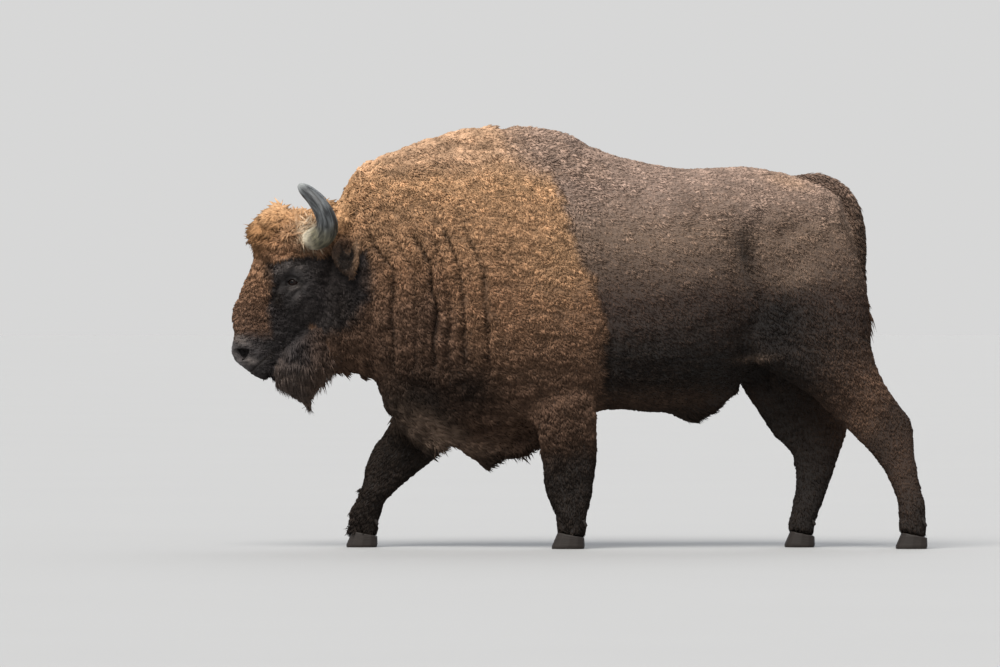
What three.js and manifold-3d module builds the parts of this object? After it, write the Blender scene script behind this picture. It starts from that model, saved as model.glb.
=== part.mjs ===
// Bull wisent (European bison), life size, in a walking stance.
// Units are millimetres and +Z is up. The animal faces -X, so its left side is -Y.
// The flesh and coat are one body, joined from lofted forms and then parted by thin cuts.

import * as THREE from 'three';
import { mergeVertices } from 'three/addons/utils/BufferGeometryUtils.js';
import Module from 'manifold-3d';

const wasm = await Module();
wasm.setup();

// ---------- General sizes ----------

const GAP = 0.3;                 // clearance left by a flat cut
const ROOM = 0.6;                // growth of a form that cuts its neighbour, so that its edges clear too
const FAR = 4000;                // reach of a cutting block past the body
const ROUND_SIDES = 10;         // facets round an ellipsoid, and rings from pole to pole
const ROUND_RINGS = 7;
const LEFT = -1;
const RIGHT = 1;

// ---------- Trunk and neck ----------
// Heights of the back line and the under line, half widths and the level of the widest point,
// all along the length of the body, out to the tips of the coat.

const BODY_FRONT = -1085;
const BODY_BACK = 1162;
const BODY_RINGS = 29;
const BODY_SIDES = 22;

const BACK_LINE = {
  insideHead: [-1085, 1290],
  poll: [-1030, 1400],
  nape: [-990, 1455],
  napeCrest: [-948, 1552],
  neckCrest: [-824, 1630],
  neckBase: [-741, 1660],
  withersFront: [-575, 1719],
  humpTop: [-305, 1758],
  humpBack: [-81, 1736],
  humpFoot: [77, 1658],
  back: [297, 1598],
  saddle: [463, 1576],
  hips: [660, 1586],
  croup: [865, 1554],
  tailRoot: [961, 1524],
  rumpTurn: [1060, 1478],
  rumpFall: [1120, 1395],
  rumpEnd: [1162, 1190],
};

const UNDER_LINE = {
  insideHead: [-1085, 900],
  throat: [-1040, 735],
  throatHair: [-960, 702],
  throatEnd: [-880, 694],
  dewlap: [-820, 640],
  chestFront: [-774, 545],
  chest: [-640, 446],
  brisket: [-420, 408],
  elbow: [-120, 448],
  girth: [40, 535],
  belly: [172, 571],
  bellyMiddle: [330, 556],
  flank: [560, 606],
  groin: [700, 696],
  crotch: [860, 800],
  seat: [1040, 900],
  rumpEnd: [1162, 1100],
};

const HALF_WIDTH = {
  insideHead: [-1085, 95],
  poll: [-1030, 150],
  nape: [-960, 182],
  neck: [-800, 232],
  neckBase: [-620, 285],
  shoulder: [-400, 306],
  shoulderBack: [-140, 312],
  girth: [70, 306],
  ribs: [330, 326],
  flank: [600, 292],
  hooks: [720, 262],
  croup: [900, 238],
  rump: [1040, 208],
  rumpFall: [1110, 140],
  rumpEnd: [1162, 30],
};

const WIDEST_LEVEL = {
  insideHead: [-1085, 1100],
  neck: [-800, 1110],
  shoulder: [-350, 1010],
  ribs: [330, 960],
  flank: [600, 1060],
  croup: [900, 1190],
  rumpEnd: [1162, 1150],
};

// Fullness of the section above and below the widest point: 2 is an ellipse, less is a ridge.
const UPPER_FULLNESS = {
  insideHead: [-1085, 1.9],
  neckCrest: [-800, 1.85],
  humpTop: [-300, 1.78],
  humpFoot: [100, 1.85],
  loin: [500, 2.05],
  croup: [900, 2.15],
  rumpEnd: [1162, 2],
};

const LOWER_FULLNESS = {
  insideHead: [-1085, 1.8],
  dewlap: [-760, 1.75],
  brisket: [-420, 1.85],
  girth: [60, 2.0],
  belly: [330, 2.15],
  groin: [700, 1.9],
  rumpEnd: [1162, 2],
};

// Swellings (and, below zero, hollows) of the body: centre, reach and height. They lie on both
// sides unless a side is named.
const BODY_SWELLINGS = {
  shoulderBlade: { x: -240, z: 1240, reachX: 190, reachZ: 260, height: 26 },
  upperArmLeft: { x: -150, z: 820, reachX: 190, reachZ: 210, height: 26, side: LEFT },
  upperArmRight: { x: -400, z: 800, reachX: 210, reachZ: 220, height: 30, side: RIGHT },
  neckMane: { x: -640, z: 1230, reachX: 150, reachZ: 260, height: 16 },
  mantleEdge: { x: 20, z: 1010, reachX: 85, reachZ: 330, height: 10 },
  hookBone: { x: 668, z: 1395, reachX: 80, reachZ: 75, height: 30 },
  flankHollow: { x: 700, z: 1150, reachX: 75, reachZ: 170, height: -24 },
  behindShoulder: { x: 150, z: 1180, reachX: 80, reachZ: 230, height: -12 },
};

// Two ridges hang along the middle: the long hair under the chest, and the sheath with its brush.
const CHEST_KEEL = {
  rings: 13,
  sides: 8,
  top: 620,
  under: {
    start: [-815, 600],
    chestFront: [-774, 527],
    frontLobe: [-600, 366],
    parting: [-517, 402],
    middle: [-380, 333],
    rear: [-234, 352],
    end: [-120, 420],
    tail: [-95, 470],
  },
  halfWidth: {
    start: [-815, 34],
    chestFront: [-740, 56],
    middle: [-420, 92],
    end: [-95, 60],
  },
};

const SHEATH = {
  rings: 8,
  sides: 8,
  top: 660,
  under: {
    start: [300, 590],
    front: [392, 541],
    brush: [459, 503],
    behindBrush: [513, 514],
    middle: [587, 556],
    back: [645, 622],
    end: [680, 655],
  },
  halfWidth: {
    start: [300, 40],
    brush: [450, 46],
    middle: [560, 52],
    end: [680, 30],
  },
};
const POUCH = { x: 850, z: 715, radii: [62, 55, 88] };

// ---------- Head ----------
// The head is lofted from the nose to the poll along a steep axis. "Face" is the distance from
// the axis to the front of the face and "jaw" the distance to the underside.

const NOSE = new THREE.Vector3(-1425, 0, 800);
const POLL = new THREE.Vector3(-1010, 0, 1330);
const HEAD_SIDES = 22;
const HEAD_STATIONS = [
  -19, -12, 4, 30, 70, 112, 156, 206, 260, 312, 356, 392, 424, 468, 534, 604, 664, 714, 742,
];

const FACE_LINE = {
  noseFront: [-19, -22],
  nosePad: [-4, 22],
  noseTop: [22, 35],
  noseBack: [66, 60],
  noseCurls: [112, 108],
  noseBridge: [161, 131],
  bridge: [262, 158],
  brow: [335, 180],
  browStep: [366, 197],
  forelockFoot: [392, 224],
  forelock: [425, 268],
  forelockFront: [462, 283],
  forelockTop: [533, 277],
  forelockBack: [600, 250],
  crown: [664, 178],
  poll: [742, 90],
};

const JAW_LINE = {
  lip: [-19, 122],
  chinFront: [-4, 178],
  chin: [14, 188],
  chinBack: [90, 186],
  jaw: [220, 212],
  jawAngle: [360, 256],
  throat: [480, 268],
  throatBack: [600, 240],
  poll: [742, 40],
};

const HEAD_HALF_WIDTH = {
  lip: [-19, 50],
  nosePad: [-4, 70],
  nostrils: [22, 81],
  muzzle: [60, 84],
  muzzleBack: [120, 80],
  bridge: [200, 90],
  cheek: [280, 114],
  orbitFront: [340, 140],
  orbit: [395, 158],
  temple: [450, 160],
  forehead: [540, 166],
  hornBase: [620, 158],
  crown: [690, 118],
  poll: [742, 40],
};

// Place of the widest point across the head, towards the face, and fullness of the two halves.
const HEAD_WIDEST = {
  lip: [-19, -60],
  muzzle: [60, -52],
  bridge: [200, -18],
  orbit: [390, 14],
  forehead: [540, 40],
  poll: [742, 20],
};
const FACE_FULLNESS = {
  lip: [-19, 2.2],
  muzzle: [60, 2.3],
  bridge: [200, 2.1],
  orbit: [390, 2.35],
  forehead: [540, 2.1],
  poll: [742, 2],
};
const JAW_FULLNESS = {
  lip: [-19, 2.1],
  muzzle: [60, 2.25],
  jaw: [220, 1.75],
  jawAngle: [390, 1.65],
  poll: [742, 2],
};

// Swellings on both sides of the head, by distance along the axis and towards the face.
const HEAD_SWELLINGS = {
  browRidge: { along: 412, across: 62, reachAlong: 38, reachAcross: 42, height: 12 },
  eyeHollow: { along: 384, across: -8, reachAlong: 26, reachAcross: 20, height: -7 },
  cheekBone: { along: 330, across: -62, reachAlong: 60, reachAcross: 34, height: 10 },
  masseter: { along: 372, across: -130, reachAlong: 80, reachAcross: 70, height: 12 },
  nostrilWing: { along: 30, across: 0, reachAlong: 26, reachAcross: 26, height: 7 },
  behindNostril: { along: 92, across: -12, reachAlong: 30, reachAcross: 40, height: -6 },
};

const NOSTRIL = { along: 24, across: -22, y: 70, radii: [34, 22, 23], turn: 0.3, lead: 0.5 };
const MOUTH = { along: [-60, 118], across: -86, sink: 0.05, height: 5, depth: 70, turn: -0.16 };

const EYE = {
  radius: 22,
  along: 387,
  across: -5,
  sunk: 6,
  lookForward: 0.3,
  openingLength: 24,
  openingHeight: 14.5,
  openingDepth: 13,
  tilt: -0.2,
};

const HORN = {
  baseRadius: 46,
  sides: 10,
  rings: 11,
  path: [[-1120, 96, 1282], [-1102, 158, 1279], [-1062, 222, 1290], [-1040, 262, 1326],
    [-1050, 280, 1380], [-1084, 272, 1434], [-1124, 245, 1474], [-1152, 214, 1499]],
  taper: { base: [0, 1.04], collar: [0.2, 1.02], middle: [0.45, 0.94], upper: [0.68, 0.7],
    nearTip: [0.93, 0.44], tip: [1, 0.14] },
};

const EAR = {
  base: [-968, 140, 1284],
  tip: [-944, 236, 1134],
  bow: 26,
  width: { root: [0, 26], flare: [0.35, 46], middle: [0.6, 44], end: [0.86, 24], tip: [1, 4] },
  wall: 11,
  cup: { root: [0, 0.3], middle: [0.45, 0.75], tip: [1, 0.1] },
  rings: 8,
  arcSteps: 6,
};

// The beard hangs from the chin and jaw: level, front, back and half width.
const BEARD = {
  cheek: { z: 930, front: -1130, back: -1010, half: 60 },
  root: { z: 780, front: -1300, back: -985, half: 88 },
  chin: { z: 712, front: -1300, back: -1010, half: 84 },
  body: { z: 672, front: -1262, back: -1058, half: 66 },
  middle: { z: 636, front: -1214, back: -1094, half: 46 },
  lower: { z: 600, front: -1170, back: -1104, half: 27 },
  tip: { z: 568, front: -1122, back: -1114, half: 5 },
};
const BEARD_RINGS = 8;
const BEARD_SIDES = 10;

// ---------- Legs ----------
// Levels of a leg from the top down, with the front and back edge of its outline, and the
// distance of its inner and outer face from the middle of the body.

const FORE_SPREAD = {
  top: [60, 150],
  armpit: [68, 236],
  elbow: [84, 244],
  forearm: [90, 228],
  knee: [92, 206],
  cannon: [92, 196],
  aboveFetlock: [90, 188],
  fetlock: [84, 194],
  pastern: [86, 192],
  coronet: [78, 198],
};

const HIND_SPREAD = {
  top: [70, 130],
  haunch: [40, 212],
  buttock: [24, 258],
  thigh: [22, 268],
  stifle: [26, 262],
  gaskin: [42, 240],
  aboveHock: [62, 212],
  hock: [76, 190],
  cannonTop: [84, 178],
  cannon: [88, 172],
  fetlock: [80, 184],
  pastern: [82, 182],
  coronet: [74, 188],
};

const LEGS = {
  fore_leg_left: {
    side: LEFT,
    spread: FORE_SPREAD,
    hoof: { toe: -118, heel: 24 },
    outline: {
      top: [830, -170, 0],
      armpit: [640, -206, 78],
      elbow: [544, -196, 82],
      forearm: [444, -170, 82],
      knee: [380, -158, 76],
      cannon: [300, -152, 70],
      aboveFetlock: [222, -142, 60],
      fetlock: [165, -106, 44],
      pastern: [112, -90, 31],
      coronet: [50, -104, 24],
    },
  },
  fore_leg_right: {
    side: RIGHT,
    spread: FORE_SPREAD,
    hoof: { toe: -972, heel: -836 },
    outline: {
      top: [860, -560, -380],
      armpit: [640, -715, -440],
      elbow: [544, -768, -468],
      forearm: [444, -838, -532],
      knee: [368, -884, -592],
      cannon: [292, -898, -684],
      aboveFetlock: [226, -914, -780],
      fetlock: [160, -952, -808],
      pastern: [112, -958, -836],
      coronet: [50, -960, -838],
    },
  },
  hind_leg_left: {
    side: LEFT,
    spread: HIND_SPREAD,
    hoof: { toe: 1306, heel: 1442 },
    outline: {
      top: [1380, 860, 1000],
      haunch: [1260, 740, 1130],
      buttock: [1060, 672, 1200],
      thigh: [880, 676, 1210],
      stifle: [764, 716, 1230],
      gaskin: [660, 916, 1280],
      aboveHock: [580, 1012, 1340],
      hock: [518, 1072, 1384],
      cannonTop: [410, 1190, 1390],
      cannon: [270, 1288, 1412],
      fetlock: [150, 1322, 1438],
      pastern: [100, 1322, 1436],
      coronet: [50, 1318, 1440],
    },
  },
  hind_leg_right: {
    side: RIGHT,
    spread: HIND_SPREAD,
    hoof: { toe: 852, heel: 984 },
    outline: {
      top: [1380, 840, 990],
      haunch: [1260, 720, 1120],
      buttock: [1060, 640, 1196],
      thigh: [880, 610, 1198],
      stifle: [764, 622, 1190],
      gaskin: [650, 684, 1166],
      aboveHock: [560, 745, 1138],
      hock: [462, 806, 1118],
      cannonTop: [395, 884, 1094],
      cannon: [270, 902, 1050],
      fetlock: [150, 884, 1008],
      pastern: [100, 872, 984],
      coronet: [50, 866, 980],
    },
  },
};
const LEG_SIDES = 12;
const LEG_FULLNESS = 2.2;
const LEG_RING_STEP = 70;

// Cutting blocks that part the legs from the trunk: the reach along the body, and the slope of
// the cut from the inner edge up to the flank.
const LEG_CUTS = {
  fore_leg_left: { front: -222, back: 120, inner: [62, 452], outer: [420, 800] },
  fore_leg_right: { front: -1010, back: -385, inner: [62, 452], outer: [420, 800] },
  hind_leg_left: { front: 690, back: 1600, inner: [14, 560], outer: [330, 1260] },
  hind_leg_right: { front: 640, back: 1600, inner: [14, 560], outer: [330, 1260] },
};

// Cuts across the body, each from its lower to its upper end.
const HEAD_CUT = { lower: [-1030, 600], upper: [-940, 1600] };
const NECK_CUT = { lower: [-640, 330], upper: [-500, 1800] };

// ---------- Hooves ----------

const CLAW = {
  width: 60,
  cleft: 7,
  toeLevel: 74,
  heelLevel: 46,
  topShare: 0.82,
  lean: 16,
  corner: 2.5,
  sides: 12,
  solePull: 5,
};

const DEWCLAW = { radius: 17, length: 46, spread: 30, level: 112, sides: 6, tiltBack: 0.62, sink: 14 };

// ---------- Tail ----------

const TAIL = {
  path: [[905, 8, 1512], [975, 8, 1526], [1050, 8, 1508], [1112, 8, 1458], [1150, 8, 1385],
    [1166, 8, 1290], [1170, 8, 1180], [1168, 8, 1080]],
  radius: { root: [0, 36], bend: [0.35, 31], middle: [0.65, 26], end: [1, 25] },
  rings: 13,
  sides: 8,
};
const TUFT = {
  path: [[1168, 8, 1085], [1170, 8, 980], [1176, 8, 870], [1180, 8, 770]],
  radius: { root: [0, 26], swell: [0.4, 39], lower: [0.75, 30], tip: [1, 4] },
  rings: 7,
  sides: 8,
};

// ---------- Finishes ----------

const FINISHES = {
  mane: { color: 0x7a5434, roughness: 0.95 },
  coat: { color: 0x57443a, roughness: 0.95 },
  dark: { color: 0x2f2622, roughness: 0.95 },
  beard: { color: 0x2b2422, roughness: 0.95 },
  horn: { color: 0x5d6062, roughness: 0.5 },
  hoof: { color: 0x26221f, roughness: 0.6 },
  eye: { color: 0x140d0a, roughness: 0.1 },
};

// ---------- Curves ----------

/** A smooth curve through [place, value] pairs that never swings past its points. */
function through(landmarks) {
  const points = Object.values(landmarks);
  const secants = points.slice(1).map(([t, value], i) => (value - points[i][1]) / (t - points[i][0]));
  const slopes = points.map((_, i) => {
    const before = secants[Math.max(i - 1, 0)];
    const after = secants[Math.min(i, secants.length - 1)];
    return before * after <= 0 ? 0 : 2 * before * after / (before + after);
  });
  return (place) => {
    const t = THREE.MathUtils.clamp(place, points[0][0], points.at(-1)[0]);
    const i = Math.max(points.findIndex(([end]) => end >= t) - 1, 0);
    const [start, low] = points[i];
    const [end, high] = points[i + 1];
    const span = end - start;
    const s = (t - start) / span;
    const ease = s * s * (3 - 2 * s);
    const lead = s * (1 - s) * (1 - s) * span * slopes[i];
    const trail = s * s * (s - 1) * span * slopes[i + 1];
    return low + (high - low) * ease + lead + trail;
  };
}

/** Evenly spaced numbers from start to end. */
function steps(start, end, count) {
  return Array.from({ length: count }, (_, i) => THREE.MathUtils.lerp(start, end, i / (count - 1)));
}

/** Share of the radius in one direction of a rounded section of the given fullness. */
function rounded(value, fullness) {
  return Math.sign(value) * Math.abs(value) ** (2 / fullness);
}

/** Height of all swellings on one side at a point, given as distances along and across. */
function swell(swellings, along, across, side) {
  const here = Object.values(swellings).filter((s) => !s.side || s.side === side);
  return here.reduce((sum, s) => {
    const a = (along - (s.x ?? s.along)) / (s.reachX ?? s.reachAlong);
    const b = (across - (s.z ?? s.across)) / (s.reachZ ?? s.reachAcross);
    return sum + s.height * Math.exp(-a * a - b * b);
  }, 0);
}

// ---------- Solids ----------

/** A closed solid from geometry whose shared corners are merged. */
function solid(geometry) {
  const bare = geometry.clone();
  bare.deleteAttribute('normal');
  bare.deleteAttribute('uv');
  const merged = mergeVertices(bare, 1e-4);
  const vertProperties = new Float32Array(merged.attributes.position.array);
  const triVerts = new Uint32Array(merged.index.array);
  return new wasm.Manifold(new wasm.Mesh({ numProp: 3, vertProperties, triVerts }));
}

/** Geometry of a solid. */
function surface(body) {
  const { vertProperties, triVerts } = body.getMesh();
  const geometry = new THREE.BufferGeometry();
  geometry.setAttribute('position', new THREE.BufferAttribute(new Float32Array(vertProperties), 3));
  geometry.setIndex(new THREE.BufferAttribute(new Uint32Array(triVerts), 1));
  geometry.computeVertexNormals();
  return geometry;
}

/** The solid with its surface moved outwards, used to leave a gap around it. */
function grown(body, amount = ROOM) {
  const geometry = surface(body);
  const { position, normal } = geometry.attributes;
  const point = new THREE.Vector3();
  const outward = new THREE.Vector3();
  for (let i = 0; i < position.count; i += 1) {
    point.fromBufferAttribute(position, i);
    point.addScaledVector(outward.fromBufferAttribute(normal, i), amount);
    position.setXYZ(i, point.x, point.y, point.z);
  }
  return solid(geometry);
}

/** The form less its neighbours, with room around each. */
function clearOf(form, neighbours) {
  return neighbours.reduce((rest, near) => rest.subtract(near).subtract(grown(near)), form);
}

/** The largest separate body of a solid. */
function largest(body) {
  return body.decompose().sort((a, b) => b.volume() - a.volume())[0];
}

/** A closed solid over equal rings of points, each end closed on its centre. */
function loft(rings) {
  const sides = rings[0].length;
  const centres = [rings[0], rings.at(-1)].map((ring) => ring
    .reduce((sum, point) => sum.add(point), new THREE.Vector3()).divideScalar(sides));
  const points = [...rings.flat(), ...centres];
  const index = [];
  for (let side = 0; side < sides; side += 1) {
    const next = (side + 1) % sides;
    const last = (rings.length - 1) * sides;
    index.push(points.length - 2, next, side);
    index.push(points.length - 1, last + side, last + next);
    for (let ring = 0; ring < rings.length - 1; ring += 1) {
      const near = ring * sides;
      const far = near + sides;
      index.push(near + side, near + next, far + side);
      index.push(near + next, far + next, far + side);
    }
  }
  const geometry = new THREE.BufferGeometry().setFromPoints(points);
  geometry.setIndex(signedVolume(points, index) < 0 ? index.reverse() : index);
  return solid(geometry);
}

/** Volume inside triangles over points, below zero if they face inwards. */
function signedVolume(points, index) {
  let volume = 0;
  const normal = new THREE.Vector3();
  for (let i = 0; i < index.length; i += 3) {
    normal.crossVectors(points[index[i + 1]], points[index[i + 2]]);
    volume += points[index[i]].dot(normal);
  }
  return volume;
}

/** A tube of changing radius along a smooth path. */
function taperedTube(path, radius, rings, sides, flatten = 1) {
  const curve = new THREE.CatmullRomCurve3(path.map((p) => new THREE.Vector3(...p)));
  const frames = curve.computeFrenetFrames(rings - 1, false);
  return loft(steps(0, 1, rings).map((t, i) => {
    const centre = curve.getPointAt(t);
    return steps(0, 2 * Math.PI, sides + 1).slice(1).map((angle) => centre.clone()
      .addScaledVector(frames.normals[i], radius(t) * Math.cos(angle) * flatten)
      .addScaledVector(frames.binormals[i], radius(t) * Math.sin(angle)));
  }));
}

/** An ellipsoid at a place, turned about the Y axis and then about the Z axis. */
function ellipsoid(radii, place, turnY = 0, turnZ = 0) {
  const geometry = new THREE.SphereGeometry(1, ROUND_SIDES, ROUND_RINGS);
  geometry.scale(...radii).rotateY(turnY).rotateZ(turnZ).translate(...place);
  return solid(geometry);
}

/** The convex outline, given anticlockwise, with every edge moved outwards. */
function widened(outline, amount) {
  const corners = outline.map((corner) => new THREE.Vector2(...corner));
  const edgeNormal = (from, to) => new THREE.Vector2(to.y - from.y, from.x - to.x).normalize();
  return corners.map((corner, i) => {
    const before = edgeNormal(corners.at(i - 1), corner);
    const after = edgeNormal(corner, corners[(i + 1) % corners.length]);
    return corner.clone().addScaledVector(before.clone().add(after), amount / (1 + before.dot(after)));
  });
}

/** A block from an outline in side view (x, z), reaching across the body. */
function sideBlock(outline, amount) {
  const shape = new THREE.Shape(widened(outline, amount));
  const geometry = new THREE.ExtrudeGeometry(shape, { depth: 2 * FAR, bevelEnabled: false });
  return solid(geometry.rotateX(Math.PI / 2).translate(0, FAR, 0));
}

/** A block from an outline in front view (y, z), reaching along the body from front to back. */
function frontBlock(outline, front, back, amount) {
  const shape = new THREE.Shape(widened(outline, amount));
  const depth = back - front + 2 * amount;
  const geometry = new THREE.ExtrudeGeometry(shape, { depth, bevelEnabled: false });
  geometry.applyMatrix4(new THREE.Matrix4().makeBasis(
    new THREE.Vector3(0, 1, 0), new THREE.Vector3(0, 0, 1), new THREE.Vector3(1, 0, 0)));
  return solid(geometry.translate(front - amount, 0, 0));
}

// ---------- Flesh forms ----------

/** Trunk and neck, lofted along the body. */
function body() {
  const top = through(BACK_LINE);
  const under = through(UNDER_LINE);
  const half = through(HALF_WIDTH);
  const widest = through(WIDEST_LEVEL);
  const upper = through(UPPER_FULLNESS);
  const lower = through(LOWER_FULLNESS);
  return loft(steps(BODY_FRONT, BODY_BACK, BODY_RINGS).map((x) => {
    const level = widest(x);
    return steps(0, 2 * Math.PI, BODY_SIDES + 1).slice(1).map((angle) => {
      const up = Math.cos(angle);
      const across = Math.sin(angle);
      const fullness = up > 0 ? upper(x) : lower(x);
      const reach = up > 0 ? top(x) - level : level - under(x);
      const z = level + reach * rounded(up, fullness);
      const swelling = swell(BODY_SWELLINGS, x, z, Math.sign(across)) * across;
      return new THREE.Vector3(x, half(x) * rounded(across, fullness) + swelling, z);
    });
  }));
}

/** A ridge hanging along the middle of the body. */
function ridge({ rings, sides, top, under, halfWidth }) {
  const lower = through(under);
  const half = through(halfWidth);
  return loft(steps(under.start[0], Object.values(under).at(-1)[0], rings).map((x) => {
    const middle = (top + lower(x)) / 2;
    return steps(0, 2 * Math.PI, sides + 1).slice(1).map((angle) => new THREE.Vector3(
      x, half(x) * Math.sin(angle), middle + (top - middle) * Math.cos(angle)));
  }));
}

const headAxis = POLL.clone().sub(NOSE).normalize();
const headFront = new THREE.Vector3(-headAxis.z, 0, headAxis.x);
const headFace = through(FACE_LINE);
const headJaw = through(JAW_LINE);
const headHalf = through(HEAD_HALF_WIDTH);
const headWidest = through(HEAD_WIDEST);
const faceFullness = through(FACE_FULLNESS);
const jawFullness = through(JAW_FULLNESS);

/** A point by its distance along the head's axis, towards the face, and sideways. */
function inHead(along, across, y) {
  return NOSE.clone().addScaledVector(headAxis, along).addScaledVector(headFront, across)
    .add(new THREE.Vector3(0, y, 0));
}

/** One section of the head. */
function headRing(along) {
  const level = headWidest(along);
  return steps(0, 2 * Math.PI, HEAD_SIDES + 1).slice(1).map((angle) => {
    const forward = Math.cos(angle);
    const sideways = Math.sin(angle);
    const fullness = forward > 0 ? faceFullness(along) : jawFullness(along);
    const reach = forward > 0 ? headFace(along) - level : level + headJaw(along);
    const across = level + reach * rounded(forward, fullness);
    const swelling = swell(HEAD_SWELLINGS, along, across) * sideways;
    return inHead(along, across, headHalf(along) * rounded(sideways, fullness) + swelling);
  });
}

/** Half width of the head at a place on its side. */
function headSurface(along, across) {
  const level = headWidest(along);
  const forward = across > level;
  const fullness = forward ? faceFullness(along) : jawFullness(along);
  const reach = forward ? headFace(along) - level : level + headJaw(along);
  const share = Math.min(Math.abs(across - level) / reach, 1);
  return headHalf(along) * (1 - share ** fullness) ** (1 / fullness)
    + swell(HEAD_SWELLINGS, along, across);
}

/** The head without horns, ears and eyes. */
function skull() {
  return loft(HEAD_STATIONS.map(headRing));
}

/** One leg from inside the trunk down to the top of its hoof. */
function leg({ side, spread, outline }) {
  const names = Object.keys(outline);
  const curveOf = (pick) => through(Object.fromEntries(
    names.toReversed().map((name) => [name, [outline[name][0], pick(name)]])));
  const front = curveOf((name) => outline[name][1]);
  const back = curveOf((name) => outline[name][2]);
  const inner = curveOf((name) => spread[name][0]);
  const outer = curveOf((name) => spread[name][1]);
  const top = outline.top[0];
  const rings = Math.round((top - outline.coronet[0]) / LEG_RING_STEP);
  return loft(steps(0, 1, rings).map((share) => {
    const z = THREE.MathUtils.lerp(outline.coronet[0], top, share ** 1.25);
    const middleX = (front(z) + back(z)) / 2;
    const middleY = (inner(z) + outer(z)) / 2;
    return steps(0, 2 * Math.PI, LEG_SIDES + 1).slice(1).map((angle) => new THREE.Vector3(
      middleX + (back(z) - middleX) * rounded(Math.cos(angle), LEG_FULLNESS),
      side * (middleY + (outer(z) - middleY) * rounded(Math.sin(angle), LEG_FULLNESS)),
      z));
  }));
}

// ---------- Hooves ----------

/** The block under the sloping top of a foot's two claws. */
function underCoronet({ toe, heel }, amount) {
  const rise = (CLAW.toeLevel - CLAW.heelLevel) / (heel - toe);
  return sideBlock([
    [toe - FAR, -FAR],
    [toe + FAR, -FAR],
    [toe + FAR, CLAW.toeLevel - rise * FAR],
    [toe - FAR, CLAW.toeLevel + rise * FAR],
  ], amount);
}

/** One claw of a hoof, with its flat sole on the ground. */
function claw(foot, middleY, half) {
  const { toe, heel } = foot.hoof;
  const centreY = middleY + half * (CLAW.width + CLAW.cleft) / 2;
  const block = loft([0, 0.14, 1].map((share) => {
    const z = share * CLAW.toeLevel;
    const pull = share === 0 ? CLAW.solePull : 0;
    const front = toe + pull + CLAW.lean * share * 2;
    const back = heel - pull - CLAW.lean * share * 0.2;
    const shrink = THREE.MathUtils.lerp(1, CLAW.topShare, share) * CLAW.width / 2 - pull / 2;
    return steps(0, 2 * Math.PI, CLAW.sides + 1).slice(1).map((angle) => {
      const fore = -Math.cos(angle);
      const pinch = 1 - 0.32 * Math.max(-fore, 0) ** 2;
      return new THREE.Vector3(
        (front + back) / 2 + (back - front) / 2 * rounded(fore, CLAW.corner),
        centreY + shrink * pinch * rounded(Math.sin(angle), CLAW.corner) + half * (1 - pinch) * -9,
        z);
    });
  }));
  return block.intersect(underCoronet(foot.hoof, 0));
}

/** One dewclaw behind the fetlock, a blunt cone pointing down and back. */
function dewclaw(foot, middleY, half) {
  const { outline } = foot;
  const geometry = new THREE.LatheGeometry([
    new THREE.Vector2(0, -DEWCLAW.length / 2),
    new THREE.Vector2(DEWCLAW.radius, -DEWCLAW.length / 2),
    new THREE.Vector2(DEWCLAW.radius * 0.42, DEWCLAW.length / 2),
    new THREE.Vector2(0, DEWCLAW.length * 0.56),
  ], DEWCLAW.sides);
  geometry.rotateX(-Math.PI / 2).rotateY(-DEWCLAW.tiltBack);
  geometry.translate(outline.pastern[2] - DEWCLAW.sink, middleY + half * DEWCLAW.spread, DEWCLAW.level);
  return solid(geometry);
}

// ---------- Details of the head ----------

/** The eyeball of one side. */
function eyeball(side) {
  const depth = headSurface(EYE.along, EYE.across) - EYE.radius - EYE.sunk;
  const place = inHead(EYE.along, EYE.across, side * depth);
  return ellipsoid([EYE.radius, EYE.radius, EYE.radius], place.toArray());
}

/** The opening between the lids of one side. */
function lidOpening(side) {
  const depth = headSurface(EYE.along, EYE.across) - EYE.sunk * 0.2;
  const place = inHead(EYE.along, EYE.across, side * depth);
  const radii = [EYE.openingLength, EYE.openingDepth, EYE.openingHeight];
  return ellipsoid(radii, place.toArray(), EYE.tilt, side * -EYE.lookForward);
}

/** The nostril of one side. */
function nostril(side) {
  const place = inHead(NOSTRIL.along, NOSTRIL.across, side * NOSTRIL.y);
  return ellipsoid(NOSTRIL.radii, place.toArray(), NOSTRIL.turn, side * NOSTRIL.lead);
}

/** The groove between the lips of one side. */
function mouthGroove(side) {
  const [start, end] = MOUTH.along;
  const wedge = loft([0, 1].map((share) => {
    const along = THREE.MathUtils.lerp(start, end, share);
    const across = MOUTH.across - MOUTH.turn * (along - start);
    const y = headSurface(along, across) * (1 - MOUTH.sink) * (share ? 1 : 0.6);
    return [[0, y], [MOUTH.height, y + MOUTH.depth], [-MOUTH.height, y + MOUTH.depth]]
      .map(([offset, reach]) => inHead(along, across + offset, side * reach));
  }));
  return wedge;
}

/** One horn, from inside the head out, up and back in to its tip. */
function horn(side) {
  const path = HORN.path.map(([x, y, z]) => [x, side * y, z]);
  const taper = through(HORN.taper);
  return taperedTube(path, (t) => HORN.baseRadius * taper(t), HORN.rings, HORN.sides);
}

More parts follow.
